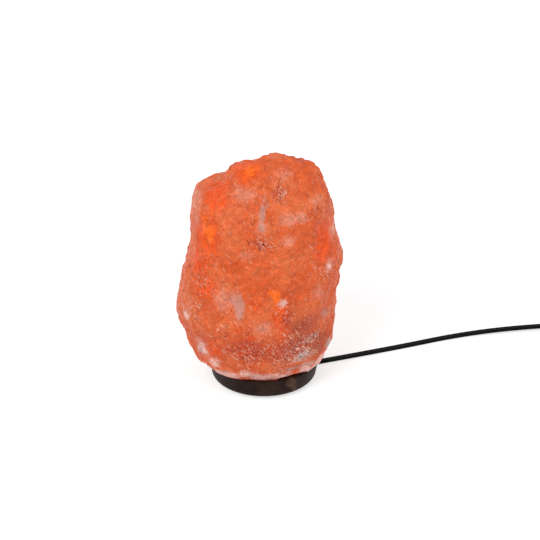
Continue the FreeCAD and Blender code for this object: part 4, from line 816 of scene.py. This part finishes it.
def strengths(points):
    """How strong each kind of patch is at each point: those of the front, noise over the back, a pale crust low
    down behind, and a frosted rim over the sawn edge."""
    marks = {name: patch(points, spots) for name, spots in PATCHES.items()}
    turned_away = smoothstep((points[:, 1] + 8) / 30)
    c, s = math.cos(BACK_TURN), math.sin(BACK_TURN)
    askew = points @ np.array([[c, -s, 0], [s, c, 0], [0, 0, 1]])
    c, s = math.cos(BACK_LEAN), math.sin(BACK_LEAN)
    askew = askew @ np.array([[1, 0, 0], [0, c, -s], [0, s, c]])
    for name, (size, seed, strength) in BACK_PATCHES.items():
        cloud = noise(askew, size, seed) + 0.5 * noise(askew[:, ::-1], size / 2, seed + 10)
        cloud = smoothstep((cloud - 0.25) / 0.6)
        marks[name] = np.maximum(marks[name], cloud * strength * turned_away)
    low_down = smoothstep((62 - points[:, 2]) / 34)
    pale_low = low_down * smoothstep((noise(points, 10.0, 65) + 0.15) / 0.7)
    marks["crust"] = np.maximum(marks["crust"], 0.75 * pale_low * turned_away)
    rim_pale = smoothstep((BASE_TOP + 15 - points[:, 2]) / 14) * (0.64 + 0.75 * noise(points, 9.0, 66))
    marks["frost"] = np.maximum(marks["frost"], 1.25 * rim_pale)
    marks["rough"] = np.clip(np.maximum(marks["rough"], low_down * 0.7 * turned_away) + marks["crust"] * 0.5, 0, 1)
    return marks


def inside_rows(edge):
    """Rings from the bore's ceiling down its wall and out under the sawn face, each point on the same spoke as its
    point of the sawn edge."""
    spoke = np.arctan2(edge[:, 1], edge[:, 0])
    circle = np.stack([np.cos(spoke), np.sin(spoke)], -1)
    turn = np.radians(np.linspace(90, 0, 6))
    radii = np.concatenate([[5.0, 11.0], BORE_R - BORE_ROUND + BORE_ROUND * np.cos(turn), np.full(BORE_ROWS, BORE_R)])
    levels = np.concatenate([[BORE_TOP] * 2, BORE_TOP - BORE_ROUND + BORE_ROUND * np.sin(turn),
                             np.linspace(BORE_TOP - BORE_ROUND, BASE_TOP, BORE_ROWS + 2)[1:-1]])
    bore = np.concatenate([circle[None] * radii[:, None, None],
                           np.broadcast_to(levels[:, None, None], (len(radii), COLUMNS, 1))], -1)
    share = np.linspace(1, 0, SAWN_ROWS + 1)[:-1, None, None]
    under = np.concatenate([circle * BORE_R * share + edge[:, :2] * (1 - share),
                            np.full((SAWN_ROWS, COLUMNS, 1), BASE_TOP)], -1)
    return np.concatenate([bore, under])


def crystal():
    """The sawn, bored and weathered block as one closed surface, from the bore's ceiling down its wall, out under
    the sawn face and up the outside."""
    outer, length = crystal_surface()
    moved = crystal_relief(outer)
    inner = inside_rows(moved[0])
    inside = len(inner)
    rows = np.concatenate([inner, moved])
    around = np.linspace(0, WRAP_ROUND, COLUMNS + 1)
    along = np.concatenate([np.linspace(-WRAP_INSIDE, 0, inside, endpoint=False),
                            np.linspace(0, length * MM, OUTER_ROWS),
                            length * MM + np.linspace(0, WRAP_TOP, TOP_ROWS + 1)[1:]])
    mesh = skin("crystal", rows * MM, (around, along))
    everywhere = np.concatenate([rows.reshape(-1, 3), [rows[0].mean(0), rows[-1].mean(0)]])
    outside = np.concatenate([np.zeros(inside * COLUMNS), np.ones(len(moved) * COLUMNS), [0, 1]])
    for name, mark in strengths(everywhere).items():
        layer = mesh.attributes.new(name, "FLOAT", "POINT")
        layer.data.foreach_set("value", (mark * outside).astype(np.float32))
    return mesh


piece("crystal", crystal(), "lamp", SALT, ["salt_crystal"])


# The felt ring

FELT_IN = 35.6
FELT_OUT = 40.6
FELT_T = 2.0
FELT_ROUND = 0.35
FELT_INSET = 0.5         # how far in from its edges the middles of its corners lie, to leave room for the ruffle
FELT_GAP = 4.0           # half of the opening for the cord
FELT_STEPS = 300


def felt_ring():
    """A flat band, open where the cord passes: its rounded section goes round from one side of the gap to the
    other, and noise ruffles its two edges by 0.15 mm."""
    corner = np.radians(np.linspace(0, 90, 4))
    quarter = np.stack([np.cos(corner), np.sin(corner)], -1) * FELT_ROUND
    near, far = FELT_IN + FELT_INSET, FELT_OUT - FELT_INSET
    low, high = FELT_ROUND, FELT_T - FELT_ROUND
    section = []
    for x, z, turn in ((near, low, 2), (far, low, 3), (far, high, 0), (near, high, 1)):
        c, s = math.cos(turn * math.pi / 2), math.sin(turn * math.pi / 2)
        section.append(np.stack([x + quarter[:, 0] * c - quarter[:, 1] * s,
                                 z + quarter[:, 0] * s + quarter[:, 1] * c], -1))
    section = np.concatenate(section)
    radius, height = section[None, :, 0], section[None, :, 1]
    gap = np.arcsin(FELT_GAP / radius)
    share = np.linspace(0, 1, FELT_STEPS)[:, None]
    angle = CORD_AZIMUTH + gap + share * (2 * math.pi - 2 * gap)
    rows = np.stack([radius * np.cos(angle), radius * np.sin(angle), height + 0 * angle], -1)
    ruffle = 1 + 0.15 * noise(rows, 1.6, 81) / radius
    rows[..., :2] *= ruffle[..., None]
    return skin("felt", rows[:, ::-1] * MM)


piece("felt", felt_ring(), "lamp", FELT, ["felt_ring"])


# Floor, light and background

def white_floor():
    """A matt white table. Rays from the camera, from gloss and through glass also see it glow a little, and more
    away from the lamp, so that it reaches white and still shows the shadow."""
    made, tree = blank("white_table")
    place = add(tree, "TexCoord").outputs["Object"]
    away = add(tree, "VectorMath", {0: place}, operation="LENGTH").outputs["Value"]
    away = add(tree, "MapRange", {"Value": away, "From Min": 0.25, "From Max": 1.1,
                                  "To Min": 0.58, "To Max": 0.92}).outputs[0]
    lift = add(tree, "Math", {0: seen_directly(tree), 1: away}, operation="MULTIPLY").outputs[0]
    matt = add(tree, "BsdfDiffuse", {"Color": linear("#D2D2D2")})
    glow = add(tree, "Emission", {"Color": linear("#FFFFFF"), "Strength": lift})
    both = add(tree, "AddShader", {0: matt.outputs[0], 1: glow.outputs[0]})
    add(tree, "OutputMaterial", {"Surface": both.outputs[0]})
    return made


floor_mesh = bpy.data.meshes.new("table")
floor_mesh.from_pydata([(-8, -8, 0), (8, -8, 0), (8, 8, 0), (-8, 8, 0)], [], [(0, 1, 2, 3)])
floor_mesh.materials.append(white_floor())
floor = bpy.data.objects.new("table", floor_mesh)
scene.collection.objects.link(floor)

world = bpy.data.worlds.new("studio")
world.use_nodes = True
world.node_tree.nodes.clear()
strength = add(world.node_tree, "MapRange", {"Value": seen_directly(world.node_tree), "To Min": 0.55, "To Max": 1.0})
studio = add(world.node_tree, "Background", {"Color": linear("#FFFFFF"), "Strength": strength.outputs[0]})
add(world.node_tree, "OutputWorld", {"Surface": studio.outputs[0]})
scene.world = world

LAMPS = (("key", (-0.75, -1.15, 1.35), 0.9, 14.0), ("fill", (1.2, -1.0, 0.9), 1.0, 6.0))
for light_name, at, size, power in LAMPS:
    light_data = bpy.data.lights.new(light_name, "AREA")
    light_data.shape = "DISK"
    light_data.size = size
    light_data.energy = power
    light = bpy.data.objects.new(light_name, light_data)
    light.location = at
    light.rotation_euler = (Vector((0, 0, 0.1)) - Vector(at)).to_track_quat("-Z", "Y").to_euler()
    scene.collection.objects.link(light)

scene.view_settings.view_transform = "Standard"
